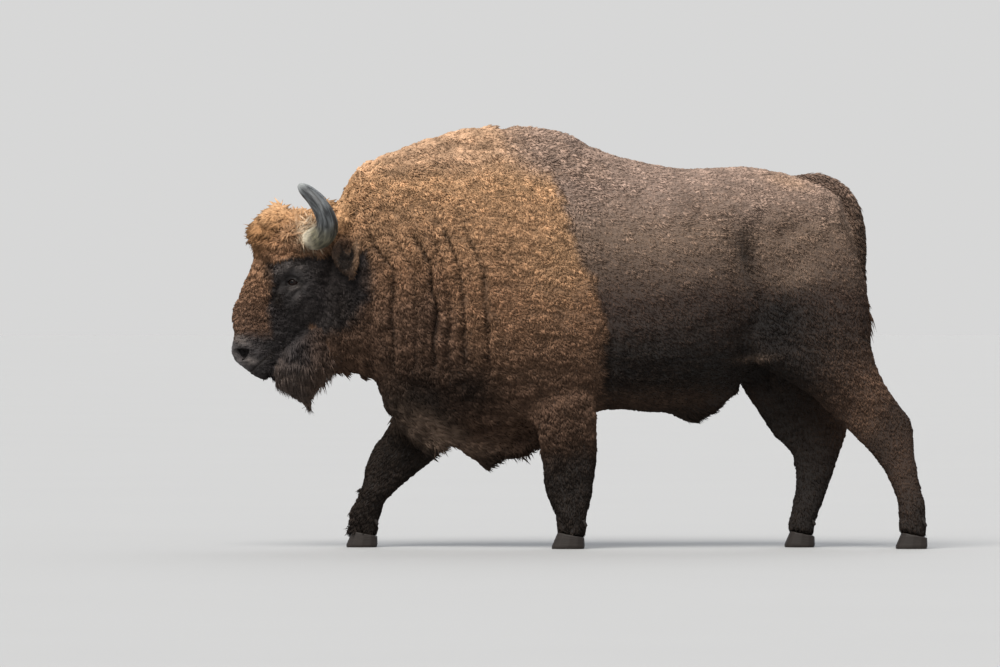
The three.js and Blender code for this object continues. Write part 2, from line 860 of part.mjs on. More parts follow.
/** One ear, a leaf with a hollow facing outwards. */
function ear(side) {
  const base = new THREE.Vector3(...EAR.base);
  const tip = new THREE.Vector3(...EAR.tip);
  const axis = tip.clone().sub(base).normalize();
  const outward = new THREE.Vector3(-0.25, 1, 0.35).projectOnPlane(axis).normalize();
  const sideways = new THREE.Vector3().crossVectors(axis, outward).normalize();
  const width = through(EAR.width);
  const cup = through(EAR.cup);
  const rings = steps(0, 1, EAR.rings).map((t) => {
    const centre = base.clone().lerp(tip, t).addScaledVector(outward, EAR.bow * Math.sin(Math.PI * t));
    const half = width(t);
    const wall = Math.min(EAR.wall, half * 0.8);
    const sag = half * cup(t);
    const arc = steps(-1, 1, EAR.arcSteps + 1);
    const hollow = arc.map((s) => [s * half, -sag * (1 - s * s)]);
    const back = arc.toReversed().map((s) => [
      s * (half + wall * 0.35), -sag * (1 - s * s) - wall * (0.35 + 0.65 * (1 - s * s)) - 1]);
    return [...hollow, ...back].map(([across, out]) => centre.clone()
      .addScaledVector(sideways, across).addScaledVector(outward, out));
  });
  const leaf = loft(rings);
  return side === LEFT ? mirrored(leaf) : leaf;
}

/** The solid mirrored to the other side of the body. */
function mirrored(form) {
  const geometry = surface(form).scale(1, -1, 1);
  geometry.setIndex(Array.from(geometry.index.array).reverse());
  return solid(geometry);
}

/** The beard, hanging to a point under the jaw. */
function beard() {
  const levels = Object.values(BEARD).toReversed();
  const curveOf = (key) => through(Object.fromEntries(levels.map((l) => [l.z, [l.z, l[key]]])));
  const front = curveOf('front');
  const back = curveOf('back');
  const half = curveOf('half');
  return loft(steps(BEARD.tip.z, BEARD.cheek.z, BEARD_RINGS).map((z) => {
    const middle = (front(z) + back(z)) / 2;
    return steps(0, 2 * Math.PI, BEARD_SIDES + 1).slice(1).map((angle) => new THREE.Vector3(
      middle + (back(z) - middle) * Math.cos(angle), half(z) * Math.sin(angle), z));
  }));
}

// ---------- Parting the body ----------

/** The block in front of a cut across the body. */
function inFrontOf({ lower, upper }, amount) {
  const lean = (upper[0] - lower[0]) / (upper[1] - lower[1]);
  return sideBlock([
    [lower[0] - FAR, lower[1] - FAR],
    [lower[0] - lean * FAR, lower[1] - FAR],
    [upper[0] + lean * FAR, upper[1] + FAR],
    [lower[0] - FAR, upper[1] + FAR],
  ], amount);
}

/** The block that holds one leg, under a cut that slopes up and out. */
function legBlock({ front, back, inner, outer }, side, amount) {
  const right = [[inner[0], -FAR], [outer[0], -FAR], outer, inner];
  const outline = side === RIGHT ? right : right.map(([y, z]) => [-y, z]).toReversed();
  return frontBlock(outline, front, back, amount);
}

/** Parts what lies inside a block from the rest, leaving a gap. */
function part(whole, block) {
  return [largest(whole.intersect(block(0))), largest(whole.subtract(block(GAP)))];
}

// ---------- Assembly ----------

const wisent = new THREE.Group();
wisent.name = 'wisent';

/** Adds one named piece with its finish. */
function add(name, form, finish) {
  const material = new THREE.MeshStandardMaterial({ ...FINISHES[finish], metalness: 0 });
  const mesh = new THREE.Mesh(surface(largest(form)), material);
  mesh.name = name;
  wisent.add(mesh);
}

const feet = Object.entries(LEGS).map(([name, foot]) => {
  const [inner, outer] = foot.spread.coronet;
  const middleY = foot.side * (inner + outer) / 2;
  const place = name.replace('_leg', '');
  const claws = { inner: -foot.side, outer: foot.side };
  return { name, place, foot, middleY, claws };
});

const legForms = feet.map(({ foot }) => leg(foot).subtract(underCoronet(foot.hoof, GAP)));
const pouch = ellipsoid(POUCH.radii, [POUCH.x, 0, POUCH.z]);
const flesh = [body(), ridge(CHEST_KEEL), ridge(SHEATH), skull(), pouch, ...legForms]
  .reduce((sum, form) => sum.add(form));

let rest = largest(flesh);
let head;
[head, rest] = part(rest, (amount) => inFrontOf(HEAD_CUT, amount));
const legs = feet.map(({ name, foot }) => {
  let piece;
  [piece, rest] = part(rest, (amount) => legBlock(LEG_CUTS[name], foot.side, amount));
  return piece;
});
const [neck, trunk] = part(rest, (amount) => inFrontOf(NECK_CUT, amount));

const faceCuts = [LEFT, RIGHT].flatMap((side) => [
  grown(eyeball(side)), lidOpening(side), nostril(side), mouthGroove(side)]);
head = largest(faceCuts.reduce((form, cut) => form.subtract(cut), head));

add('trunk', trunk, 'coat');
add('neck', neck, 'mane');
add('head', head, 'dark');
add('beard', clearOf(beard(), [head, neck]), 'beard');

Object.entries({ left: LEFT, right: RIGHT }).forEach(([name, side]) => {
  const hornForm = largest(clearOf(horn(side), [head, neck]));
  add(`eye_${name}`, eyeball(side), 'eye');
  add(`horn_${name}`, hornForm, 'horn');
  add(`ear_${name}`, clearOf(ear(side), [head, neck, hornForm]), 'dark');
});

feet.forEach(({ name, place, foot, middleY, claws }, i) => {
  add(name, legs[i], 'dark');
  Object.entries(claws).forEach(([position, half]) => {
    add(`hoof_${place}_${position}`, claw(foot, middleY, half), 'hoof');
    add(`dewclaw_${place}_${position}`, clearOf(dewclaw(foot, middleY, half), [legs[i]]), 'hoof');
  });
});

const tailForm = taperedTube(TAIL.path, through(TAIL.radius), TAIL.rings, TAIL.sides);
const tuftForm = taperedTube(TUFT.path, through(TUFT.radius), TUFT.rings, TUFT.sides);
const rump = [trunk, legs[2], legs[3]];
const tail = largest(clearOf(tailForm, rump));
add('tail', tail, 'coat');
add('tail_tuft', clearOf(tuftForm, [...rump, tail]), 'dark');

const bounds = new THREE.Box3().setFromObject(wisent);
const centre = bounds.getCenter(new THREE.Vector3());
wisent.position.set(-centre.x, -centre.y, -bounds.min.z);

export default wisent;
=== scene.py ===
import itertools
import math

import bmesh
import bpy
import numpy as np
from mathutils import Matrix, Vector
from mathutils.bvhtree import BVHTree


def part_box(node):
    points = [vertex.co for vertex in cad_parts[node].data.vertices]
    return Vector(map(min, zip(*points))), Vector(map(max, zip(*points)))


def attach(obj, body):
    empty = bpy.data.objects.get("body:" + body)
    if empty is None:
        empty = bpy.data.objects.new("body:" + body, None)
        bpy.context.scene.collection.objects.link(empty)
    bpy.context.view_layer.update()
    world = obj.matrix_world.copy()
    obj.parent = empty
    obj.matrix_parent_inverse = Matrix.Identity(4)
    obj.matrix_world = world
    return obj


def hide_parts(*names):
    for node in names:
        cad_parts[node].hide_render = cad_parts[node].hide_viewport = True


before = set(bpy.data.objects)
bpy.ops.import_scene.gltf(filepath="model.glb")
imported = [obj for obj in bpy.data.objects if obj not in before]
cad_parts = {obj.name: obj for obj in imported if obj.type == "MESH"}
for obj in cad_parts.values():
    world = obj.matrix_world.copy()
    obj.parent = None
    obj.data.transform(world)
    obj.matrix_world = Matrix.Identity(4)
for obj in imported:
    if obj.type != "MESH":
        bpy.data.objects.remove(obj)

bl_info = {
    "name": "Bull wisent",
    "version": (1, 0, 0),
    "blender": (4, 5, 0),
    "location": "3D View > Sidebar > Wisent",
    "description": "Skin, coat, eyes, horns and hooves of a life-size bull wisent",
    "category": "Object",
}

# ---------- Places ----------
# Metres, +Z up. The animal faces -X, so its left side is -Y.

BODY = "root"
SIDES = {"left": -1, "right": 1}
LEGS = ["fore_leg_left", "fore_leg_right", "hind_leg_left", "hind_leg_right"]
FLESH = ["trunk", "neck", "head", "beard", "ear_left", "ear_right", *LEGS, "tail", "tail_tuft"]
NOSE = np.array([-1.425, 0.0, 0.800])
POLL = np.array([-1.010, 0.0, 1.330])
HEAD_AXIS = (POLL - NOSE) / np.linalg.norm(POLL - NOSE)
HEAD_FRONT = np.array([-HEAD_AXIS[2], 0.0, HEAD_AXIS[0]])

# The head is modelled finer than the body: it is enlarged before the surface is rebuilt.
FINE_START = -0.900
FINE_FULL = -1.000
FINE_LEVEL = 1.000
FINE_SCALE = 2.0

# The back edge of the mantle, the long coat of the forequarters: level and place along the body.
MANTLE_EDGE = {
    "crest": (1.76, -0.360),
    "hump": (1.639, -0.284),
    "withers": (1.598, -0.160),
    "top": (1.527, -0.110),
    "blade": (1.444, -0.077),
    "shoulder": (1.340, -0.048),
    "ribs": (1.204, 0.006),
    "arm": (1.133, 0.048),
    "elbow": (0.905, 0.108),
    "fringe": (0.676, 0.092),
    "leg": (0.552, 0.081),
}

# Colours up the body, from the belly to the back.
REAR_SHADES = [(0.0, "pitch"), (0.80, "pitch"), (1.04, "dusk"), (1.30, "taupe"), (1.50, "drab")]
MANTLE_SHADES = [(0.28, "pitch"), (0.48, "umber"), (0.70, "russet"), (1.03, "chestnut"),
                 (1.30, "tan"), (1.60, "gold")]

# The neck is painted as dark as places this much lower, a painted shade of its recess between
# head and shoulder; the crest pales between these levels.
NECK_PAINTED_SHADE = 0.34
CREST_LEVELS = (1.50, 1.64)

# Patches of colour on the body, in the order that they are laid on: colour, place in side view,
# reach, turn and strength. Some are painted light and shade, as marked.
REAR_PATCHES = {
    # Painted warm light from below along the side of the belly.
    "bellyLightFromBelow": ("russet", (0.30, 0.62), (0.40, 0.05), 0.0, 0.25),
    # Painted shade in the hollow of the flank.
    "hollow": ("pitch", (0.682, 1.22), (0.042, 0.17), 0.12, 0.80),
    # Painted shade on the loin, in front of the hook bone.
    "beforeHip": ("dusk", (0.47, 1.42), (0.07, 0.05), 0.0, 0.40),
    # Painted highlight on the hook bone.
    "hip": ("drab", (0.70, 1.42), (0.09, 0.07), 0.0, 0.60),
    # Painted highlight along the top of the croup.
    "croup": ("gold", (0.86, 1.52), (0.10, 0.03), -0.2, 0.30),
    # Painted shade in the hollow of the croup.
    "croupHollow": ("dusk", (0.84, 1.33), (0.07, 0.05), 0.3, 0.45),
    "buttock": ("dusk", (1.10, 1.20), (0.08, 0.14), 0.0, 0.30),
    "thighBand": ("taupe", (0.88, 1.14), (0.11, 0.06), 0.25, 0.65),
    "thigh": ("hoof", (0.81, 0.94), (0.15, 0.12), 0.45, 1.15),
    "stifle": ("taupe", (0.72, 0.79), (0.08, 0.015), 0.1, 0.35),
    "gaskin": ("umber", (1.14, 0.66), (0.15, 0.22), -0.3, 0.80),
    "backOfGaskin": ("russet", (1.20, 0.60), (0.07, 0.18), -0.3, 0.75),
    "hock": ("umber", (1.34, 0.38), (0.10, 0.20), 0.0, 0.70),
}
MANTLE_PATCHES = {
    "nape": ("gold", (-0.72, 1.56), (0.22, 0.13), -0.3, 0.70),
    "shoulder": ("tan", (-0.14, 1.16), (0.13, 0.20), 0.2, 0.45),
    "blade": ("gold", (-0.07, 1.23), (0.13, 0.13), 0.0, 0.55),
    # Painted shadow on the lower neck and chest.
    "chest": ("hoof", (-0.45, 0.67), (0.13, 0.13), 0.2, 0.85),
    # Painted shade behind the arm, beside the raised edge of the mantle.
    "shadeBehindArm": ("pitch", (0.09, 0.80), (0.035, 0.20), 0.0, 0.35),
    # Painted shade in the middle of the neck, among its folds.
    "neck": ("dusk", (-0.62, 1.06), (0.05, 0.18), 0.0, 0.45),
    "chestFringe": ("taupe", (-0.60, 0.49), (0.17, 0.06), -0.6, 0.95),
    "keel": ("umber", (-0.38, 0.40), (0.14, 0.06), 0.0, 0.80),
    "keelFringe": ("taupe", (-0.41, 0.41), (0.10, 0.04), 0.0, 0.35),
}
# These go over the pale crest and the dark underside.
TOP_PATCHES = {
    "throat": ("russet", (-0.90, 0.82), (0.12, 0.14), 0.0, 0.40),
    "arm": ("russet", (-0.10, 0.72), (0.15, 0.10), 0.0, 0.60),
    "elbow": ("umber", (-0.02, 0.575), (0.12, 0.055), 0.0, 0.75),
}
EAR_INSIDE = ((-0.961, 1.215), (0.034, 0.060), -0.2)
FACE_PATCHES_END = -0.85

# How the coat grows: place in side view, reach, length, lift at root and tip, curl, lie (x, z).
GROWTH = {
    "nose": (-1.40, 0.80, 0.05, 0.009, 16, 3, 0.1, (0.70, 0.30)),
    "muzzle": (-1.34, 0.86, 0.06, 0.016, 24, 5, 0.3, (0.75, -0.30)),
    "bridge": (-1.36, 1.02, 0.08, 0.020, 40, 12, 0.8, (-0.30, -0.80)),
    "frontal": (-1.33, 1.20, 0.07, 0.030, 46, 16, 0.9, (-0.45, -0.80)),
    "forelock": (-1.30, 1.36, 0.08, 0.048, 54, 22, 0.9, (-0.55, -0.40)),
    "crown": (-1.15, 1.40, 0.09, 0.046, 52, 18, 0.9, (-0.10, 0.50)),
    "poll": (-1.00, 1.40, 0.08, 0.040, 44, 10, 0.9, (0.70, -0.30)),
    "temple": (-1.12, 1.23, 0.05, 0.024, 26, 6, 0.5, (0.60, -0.60)),
    "eye": (-1.19, 1.11, 0.06, 0.012, 14, 2, 0.2, (0.75, -0.30)),
    "cheek": (-1.14, 0.96, 0.08, 0.019, 24, 5, 0.5, (0.65, -0.70)),
    "jowl": (-1.02, 0.92, 0.09, 0.038, 26, 4, 0.5, (0.40, -0.90)),
    "lip": (-1.34, 0.74, 0.05, 0.009, 15, 4, 0.2, (0.70, -0.60)),
    "chin": (-1.20, 0.68, 0.07, 0.055, 22, 4, 0.3, (0.25, -0.95)),
    "earRoot": (-0.97, 1.20, 0.06, 0.020, 20, 3, 0.4, (0.45, -0.85)),
    "hornRoot": (-1.12, 1.28, 0.045, 0.052, 64, 34, 0.8, (0.75, -0.50)),
    "nape": (-0.93, 1.53, 0.10, 0.032, 38, 5, 0.9, (0.80, -0.40)),
    "neckTop": (-0.78, 1.50, 0.14, 0.028, 34, 3, 0.9, (0.50, -0.80)),
    "neck": (-0.80, 1.20, 0.17, 0.029, 32, 1, 0.8, (0.20, -0.98)),
    "throat": (-0.92, 0.82, 0.12, 0.040, 24, 3, 0.5, (0.20, -0.97)),
    "neckLow": (-0.72, 0.80, 0.14, 0.034, 28, 2, 0.6, (0.30, -0.93)),
    "humpFront": (-0.55, 1.62, 0.15, 0.026, 34, 4, 0.9, (0.85, -0.45)),
    "hump": (-0.28, 1.68, 0.15, 0.024, 32, 4, 0.8, (0.93, -0.35)),
    "blade": (-0.35, 1.35, 0.17, 0.023, 30, 2, 0.8, (0.55, -0.82)),
    "shoulder": (-0.15, 1.05, 0.17, 0.023, 30, 2, 0.8, (0.50, -0.85)),
    "arm": (-0.15, 0.72, 0.14, 0.030, 28, 2, 0.6, (0.30, -0.92)),
    "chest": (-0.50, 0.75, 0.15, 0.032, 28, 3, 0.6, (0.35, -0.90)),
    "keelFront": (-0.68, 0.47, 0.12, 0.060, 24, 4, 0.4, (0.70, -0.70)),
    "keel": (-0.35, 0.42, 0.14, 0.052, 24, 4, 0.5, (0.80, -0.60)),
    "humpBack": (0.05, 1.60, 0.12, 0.026, 26, 3, 0.6, (0.90, -0.40)),
    "back": (0.45, 1.50, 0.20, 0.021, 22, 2, 0.5, (0.88, -0.45)),
    "ribs": (0.30, 1.10, 0.20, 0.020, 19, 1, 0.4, (0.70, -0.70)),
    "flank": (0.55, 0.85, 0.18, 0.020, 18, 1, 0.4, (0.70, -0.70)),
    "belly": (0.35, 0.62, 0.14, 0.028, 22, 3, 0.3, (0.92, -0.40)),
    "sheath": (0.46, 0.53, 0.06, 0.050, 26, 8, 0.2, (0.45, -0.88)),
    "croup": (0.92, 1.48, 0.14, 0.020, 22, 2, 0.5, (0.90, -0.40)),
    "rump": (1.05, 1.20, 0.18, 0.020, 18, 1, 0.4, (0.50, -0.85)),
    "thigh": (0.92, 0.88, 0.18, 0.021, 20, 2, 0.4, (0.30, -0.93)),
    "gaskin": (1.10, 0.62, 0.13, 0.024, 22, 2, 0.3, (0.30, -0.93)),
    "hindLeg": (1.20, 0.30, 0.22, 0.018, 16, 2, 0.2, (0.15, -0.97)),
    "foreArm": (-0.17, 0.45, 0.10, 0.034, 24, 4, 0.4, (0.15, -0.97)),
    "foreLeg": (-0.15, 0.20, 0.14, 0.022, 18, 3, 0.2, (0.10, -0.98)),
    "farKnee": (-0.78, 0.32, 0.13, 0.022, 18, 3, 0.2, (-0.45, -0.88)),
}

# Nodes whose coat does not follow the place in side view: length, lifts, curl, lie.
OWN_GROWTH = {
    "fore_leg_right": (0.026, 22, 4, 0.2, (-0.45, -0.88)),
    "beard": (0.070, 14, 3, 0.25, (0.22, -0.96)),
    "ear_left": (0.020, 14, 6, 0.2, (0.25, -0.96)),
    "ear_right": (0.020, 14, 6, 0.2, (0.25, -0.96)),
    "tail": (0.024, 14, 3, 0.1, (0.30, -0.95)),
    "tail_tuft": (0.070, 10, 1, 0.2, (-0.05, -0.99)),
}

# Coat pieces: kind and number of tufts, tuft width and the direction of the unwrap.
COAT_PIECES = {
    "neck": ("flake", 49000, 0.0054, (1, 0, 0)),
    "mantle_upper": ("flake", 49000, 0.0052, (1, 0, 0)),
    "mantle_lower": ("flake", 49000, 0.0054, (1, 0, 0)),
    "flank": ("flake", 41000, 0.0062, (1, 0, 0)),
    "rump": ("flake", 41000, 0.0062, (1, 0, 0)),
    "face": ("flake", 30000, 0.0044, tuple(HEAD_AXIS)),
    "forelock": ("flake", 36000, 0.0046, tuple(HEAD_AXIS)),
    "beard": ("lock", 6000, 0.0050, (0, 0, 1)),
    "ears": ("flake", 5000, 0.0045, (0, 0, 1)),
    "fore_leg_left": ("flake", 10500, 0.0070, (0, 0, 1)),
    "fore_leg_right": ("flake", 10500, 0.0070, (0, 0, 1)),
    "hind_leg_left": ("flake", 16500, 0.0070, (0, 0, 1)),
    "hind_leg_right": ("flake", 16500, 0.0070, (0, 0, 1)),
    "tail": ("lock", 3400, 0.0060, (0, 0, 1)),
}
UNWRAP_PATCH = 0.003
UNWRAP_MARGIN = 0.02

# Depth of a tuft's root in the skin, the proportions of a clump, and the size from which a clump
# is of the wide kind.
ROOT_DEPTH = 0.0025
CLUMP_FORM = np.array([1.15, 1.15, 0.85])
CLUMP_CHANGE = 0.024

# Horn: middle line on the left side (mirrored for the right), radius, its taper along the horn,
# the rows of points, and the height of its growth rings and lumps as a share of the radius.
HORN_PATH = [(-1.119, -0.096, 1.285), (-1.101, -0.158, 1.282), (-1.061, -0.222, 1.293),
             (-1.039, -0.262, 1.329), (-1.049, -0.280, 1.383), (-1.083, -0.272, 1.437),
             (-1.123, -0.245, 1.477), (-1.151, -0.214, 1.501)]
HORN_RADIUS = 0.046
HORN_TAPER = {"base": (0.0, 0.94), "collar": (0.20, 1.02), "middle": (0.45, 1.00),
              "upper": (0.68, 0.80), "nearTip": (0.94, 0.55), "tip": (1.0, 0.30)}
HORN_RINGS = 90
HORN_SIDES = 40
HORN_RIPPLE = 0.018
HORN_LUMPS = 0.012

# Hooves: spacing of the rebuilt surface, height and spacing of the growth rings.
HOOF_GRAIN = 0.0030
HOOF_RING_HEIGHT = 0.0005
HOOF_RING_SPACING = 0.0011

# Share of its length by which hanging coat sets the skin in, the thickness added to the ears so
# that they keep their form, the depth of the step behind the mantle, and how far in the thickness
# of the flesh is measured.
HANGING_SHARE = 0.75
EAR_WALL = 0.009
MANTLE_STEP = 0.012
FLESH_DEPTH = 0.3

# Upright folds of the neck: place along the body and strength.
NECK_CREASES = {"jaw": (-0.775, 0.8), "throat": (-0.690, 0.5), "middle": (-0.605, 1.0),
                "between": (-0.545, 0.5), "shoulder": (-0.483, 1.0), "blade": (-0.385, 0.8)}
CREASE_WIDTH = 0.015

# Forms of the body: place in side view, reach, turn and height.
BODY_FORMS = {
    "neckHollow": ((-0.56, 0.90), (0.11, 0.22), 0.0, -0.012),
    "armPit": ((-0.40, 0.60), (0.09, 0.12), 0.2, -0.014),
    "elbow": ((-0.03, 0.62), (0.06, 0.07), 0.0, 0.012),
    "hipBone": ((0.71, 1.385), (0.040, 0.040), 0.0, 0.018),
    "beforeHip": ((0.615, 1.30), (0.035, 0.08), 0.0, -0.012),
    "hollow": ((0.660, 1.20), (0.036, 0.14), 0.15, -0.022),
    "stifleFold": ((0.685, 0.86), (0.025, 0.15), 0.30, -0.012),
    "thighFront": ((0.80, 1.05), (0.06, 0.12), 0.0, 0.008),
    "croupHollow": ((0.87, 1.31), (0.07, 0.05), 0.2, -0.010),
    "pinBone": ((1.13, 1.30), (0.05, 0.07), 0.0, 0.008),
    "lastRibs": ((0.48, 1.08), (0.05, 0.22), 0.2, 0.006),
}

# Forms of the face: place along the head's axis and towards the face, reach of each, height.
HEAD_FORMS = {
    "boss": (0.573, 0.055, 0.042, 0.042, 0.030),
    "brow": (0.428, 0.052, 0.036, 0.020, 0.014),
    "tearPit": (0.345, 0.036, 0.028, 0.018, -0.016),
    "underEye": (0.362, -0.040, 0.030, 0.012, -0.005),
    "cheekbone": (0.335, -0.068, 0.060, 0.020, 0.006),
    "besideBridge": (0.270, 0.022, 0.060, 0.016, -0.009),
    "temple": (0.470, -0.020, 0.030, 0.040, -0.006),
    "upperLip": (0.060, -0.075, 0.040, 0.016, 0.006),
    "behindNostril": (0.075, 0.000, 0.018, 0.040, -0.007),
}

# Patches of colour on the face: colour, place in side view, reach, turn and strength. Some are
# painted shade and highlight, as marked.
FACE_PATCHES = {
    "browArch": ("ash", (-1.185, 1.170), (0.075, 0.020), 0.15, 0.52),
    "besideEye": ("ash", (-1.245, 1.135), (0.022, 0.024), 0.0, 0.25),
    "underEye": ("ash", (-1.180, 1.040), (0.060, 0.030), -0.1, 0.08),
    # Dark hair behind the jaw, deepened with painted shade where the head meets the neck.
    "jowl": ("pitch", (-0.980, 1.000), (0.070, 0.130), 0.1, 0.60),
    "cheek": ("ash", (-1.120, 0.985), (0.050, 0.060), 0.0, 0.12),
    # Painted shade in the hollow in front of the eye.
    "tearPit": ("pitch", (-1.250, 1.036), (0.022, 0.042), 0.1, 0.95),
    # Painted shade in the fold at the front of the brow.
    "browFoldShade": ("pitch", (-1.283, 1.155), (0.013, 0.050), -0.15, 0.85),
    "overEye": ("pitch", (-1.185, 1.198), (0.085, 0.012), 0.15, 0.70),
    "behindEye": ("pitch", (-1.060, 1.150), (0.060, 0.050), 0.0, 0.45),
    "lids": ("hoof", (-1.183, 1.101), (0.036, 0.021), 0.1, 1.2),
    "lowerLid": ("ash", (-1.180, 1.081), (0.024, 0.006), 0.1, 0.45),
    "noseRim": ("ash", (-1.402, 0.868), (0.030, 0.020), -0.3, 0.85),
    # Painted highlight on the skin below the nostril.
    "highlightBelowNostril": ("ash", (-1.356, 0.775), (0.024, 0.014), 0.0, 0.75),
    "earTop": ("umber", (-0.975, 1.262), (0.050, 0.040), 0.2, 1.2),
    "ear": ("pitch", (-0.965, 1.205), (0.040, 0.055), -0.2, 0.9),
    "earFront": ("pitch", (-1.030, 1.210), (0.030, 0.050), 0.0, 0.6),
    "spot": ("chestnut", (-1.110, 0.926), (0.014, 0.011), 0.0, 0.9),
    "hornRoot": ("cream", (-1.125, 1.295), (0.044, 0.036), 0.0, 1.0),
}

EYE_RADIUS = 0.022
EYE_LOOK = (0.28, 0.96, 0.04)
EYE_OPENING = (0.0235, 0.0135)
EYE_TILT = -0.10
# The lids: how far from the eye's middle they reach, their thickness, the depth of the opening.
LID_REACH = 0.055
LID_THICKNESS = 0.0036
LID_DEPTH = 0.014
# Their ridges: place out from the middle of the opening (its rim is 1), width, height, and share
# above and below it.
LID_RIDGES = {
    "rim": (1.35, 0.30, 0.0018, 1.0, 1.0),
    "upperFold": (2.25, 0.28, -0.0028, 1.0, 0.0),
    "lowerFold": (2.50, 0.30, -0.0016, 0.0, 1.0),
}

# The nostrils in side view and across; the slit of the mouth from the nose, in the head's frame.
NOSTRIL_PLACE = (-1.402, 0.802)
NOSTRIL_LENGTH = 0.039
NOSTRIL_WIDTH = 0.025
NOSTRIL_ACROSS = (0.030, 0.048)
MOUTH_START = -0.096
MOUTH_SLOPE = -0.16
MOUTH_LENGTH = 0.13

# Where the skin gets a finer net: reach round an eye and back from the nose, widest first.
FINE_ZONES = [(0.050, 0.040), (0.036, 0.0)]
FINE_FACE = -1.08
FINE_MUZZLE = -1.25

# The stage: a long lens far off at eye level, a floor, a sky that lights and one that is seen.
# Each lamp has its turn in degrees, strength, angle and colour.
SENSOR = 36.0
VIEW_DISTANCE = 45.0
VIEW_WIDTH = 4.15
VIEW_CENTRE = (-0.326, 0.890)
EYE_LEVEL = 1.15
FLOOR_RADIUS = 150.0
WORLD_COLOUR = (0.86, 0.90, 0.96)
WORLD_STRENGTH = 1.00
BACKDROP_COLOUR = (0.680, 0.680, 0.678)
LAMPS = {
    "key": ((35.0, -18.0, 0.0), 5.5, 40.0, (1.0, 0.97, 0.92)),
    "rim": ((-50.0, 20.0, 0.0), 0.8, 40.0, (0.95, 0.97, 1.0)),
}


# ---------- Settings ----------

def length(name, description, default):
    """A length that the user can change."""
    return bpy.props.FloatProperty(
        name=name, description=description, default=default, min=0.0, precision=4, unit="LENGTH")


def share(name, description, default):
    """A plain number that the user can change."""
    return bpy.props.FloatProperty(name=name, description=description, default=default, min=0.0)


def colour(name, description, default):
    """A colour that the user can change."""
    return bpy.props.FloatVectorProperty(
        name=name, description=description, default=default, size=3, min=0.0, max=1.0,
        subtype="COLOR")


class WisentSizes(bpy.types.PropertyGroup):
    """Sizes of the skin and the coat."""
    voxel: length("Skin grain", "Spacing of the rebuilt skin on the body", 0.0147)
    coat_length: share("Coat length", "Length of every tuft, 1 as it grows", 1.0)
    coat_width: share("Tuft width", "Width of every tuft, 1 as it grows", 1.0)
    clump: length("Clump", "Width of the curls that the mane gathers into", 0.028)
    fine_clump: length("Short clump", "Width of the waves of the short coat", 0.020)


class WisentColours(bpy.types.PropertyGroup):
    """Colours of the coat, skin, horns, hooves and eyes."""
    # Gold is also painted as a highlight along the top of the croup.
    gold: colour("Gold", "Hump and the tips of the forelock", (0.45, 0.272, 0.150))
    amber: colour("Amber", "Forelock", (0.255, 0.132, 0.056))
    tan: colour("Tan", "Upper mantle", (0.362, 0.212, 0.118))
    chestnut: colour("Chestnut", "Shoulder and middle of the neck", (0.245, 0.135, 0.077))
    # Russet is also painted as warm light from below along the belly.
    russet: colour("Russet", "Lower shoulder and throat", (0.138, 0.080, 0.052))
    umber: colour("Umber", "Arm, lower thigh and hocks", (0.082, 0.048, 0.032))
    # Drab is also painted as a highlight on the hook bone.
    drab: colour("Drab", "Top of the back and rump", (0.272, 0.192, 0.152))
    taupe: colour("Taupe", "Upper flank", (0.200, 0.136, 0.098))
    # Dusk is also painted as shade on the loin, in the hollow of the croup and on the neck.
    dusk: colour("Dusk", "Middle of the flank", (0.050, 0.031, 0.023))
    soot: colour("Soot", "Face and beard", (0.040, 0.034, 0.033))
    # Pitch is also painted as shade in hollows and folds, behind the arm and jaw, before the eyes and
    # in the mouth.
    pitch: colour("Pitch", "Belly, legs and inside of the ears", (0.0180, 0.0132, 0.0105))
    # Ash is also painted as a highlight below the nostrils.
    ash: colour("Ash", "Pale rim of the muzzle and the skin round the eyes", (0.20, 0.17, 0.155))
    cream: colour("Cream", "Hair round the root of the horns", (0.46, 0.39, 0.29))
    horn: colour("Horn", "Slate grey of the horns", (0.030, 0.032, 0.033))
    horn_base: colour("Horn base", "Cream of the horn's base", (0.50, 0.44, 0.33))
    # Hoof is also painted as shadow on the lower neck and chest.
    hoof: colour("Hoof", "Hooves, dewclaws and the darkest hair", (0.012, 0.009, 0.0075))
    floor: colour("Floor", "Floor of the stage", (0.265, 0.263, 0.26))


# ---------- Numbers over the surface ----------

def ease(low, high, values):
    """A smooth change from 0 at low to 1 at high, which may be the smaller."""
    t = np.clip((values - low) / (high - low), 0.0, 1.0)
    return t * t * (3.0 - 2.0 * t)


def along(landmarks, values):
    """Straight lines through named (place, value) landmarks."""
    places, sizes = zip(*sorted(landmarks.values()))
    return np.interp(values, places, sizes)


def lattice(cells, seed):
    """A repeatable number from 0 to 1 for every whole-number cell."""
    mixed = (cells @ np.array([73856093, 19349663, 83492791]) + seed * 1013904223).astype(np.uint64)
    for shift, factor in ((29, 0xBF58476D1CE4E5B9), (32, 0x94D049BB133111EB)):
        mixed = (mixed ^ (mixed >> np.uint64(shift))) * np.uint64(factor)
    return (mixed >> np.uint64(40)).astype(float) / 2.0 ** 24


def noise(points, size, seed):
    """Smooth noise from -1 to 1 with features of that size, which may differ by axis."""
    place = points / np.asarray(size)
    cell = np.floor(place).astype(np.int64)
    t = place - cell
    t = t * t * (3.0 - 2.0 * t)
    total = np.zeros(len(points))
    for corner in itertools.product((0, 1), repeat=3):
        weight = np.prod(np.where(np.array(corner) == 1, t, 1.0 - t), axis=1)
        total += weight * lattice(cell + np.array(corner), seed)
    return 2.0 * total - 1.0


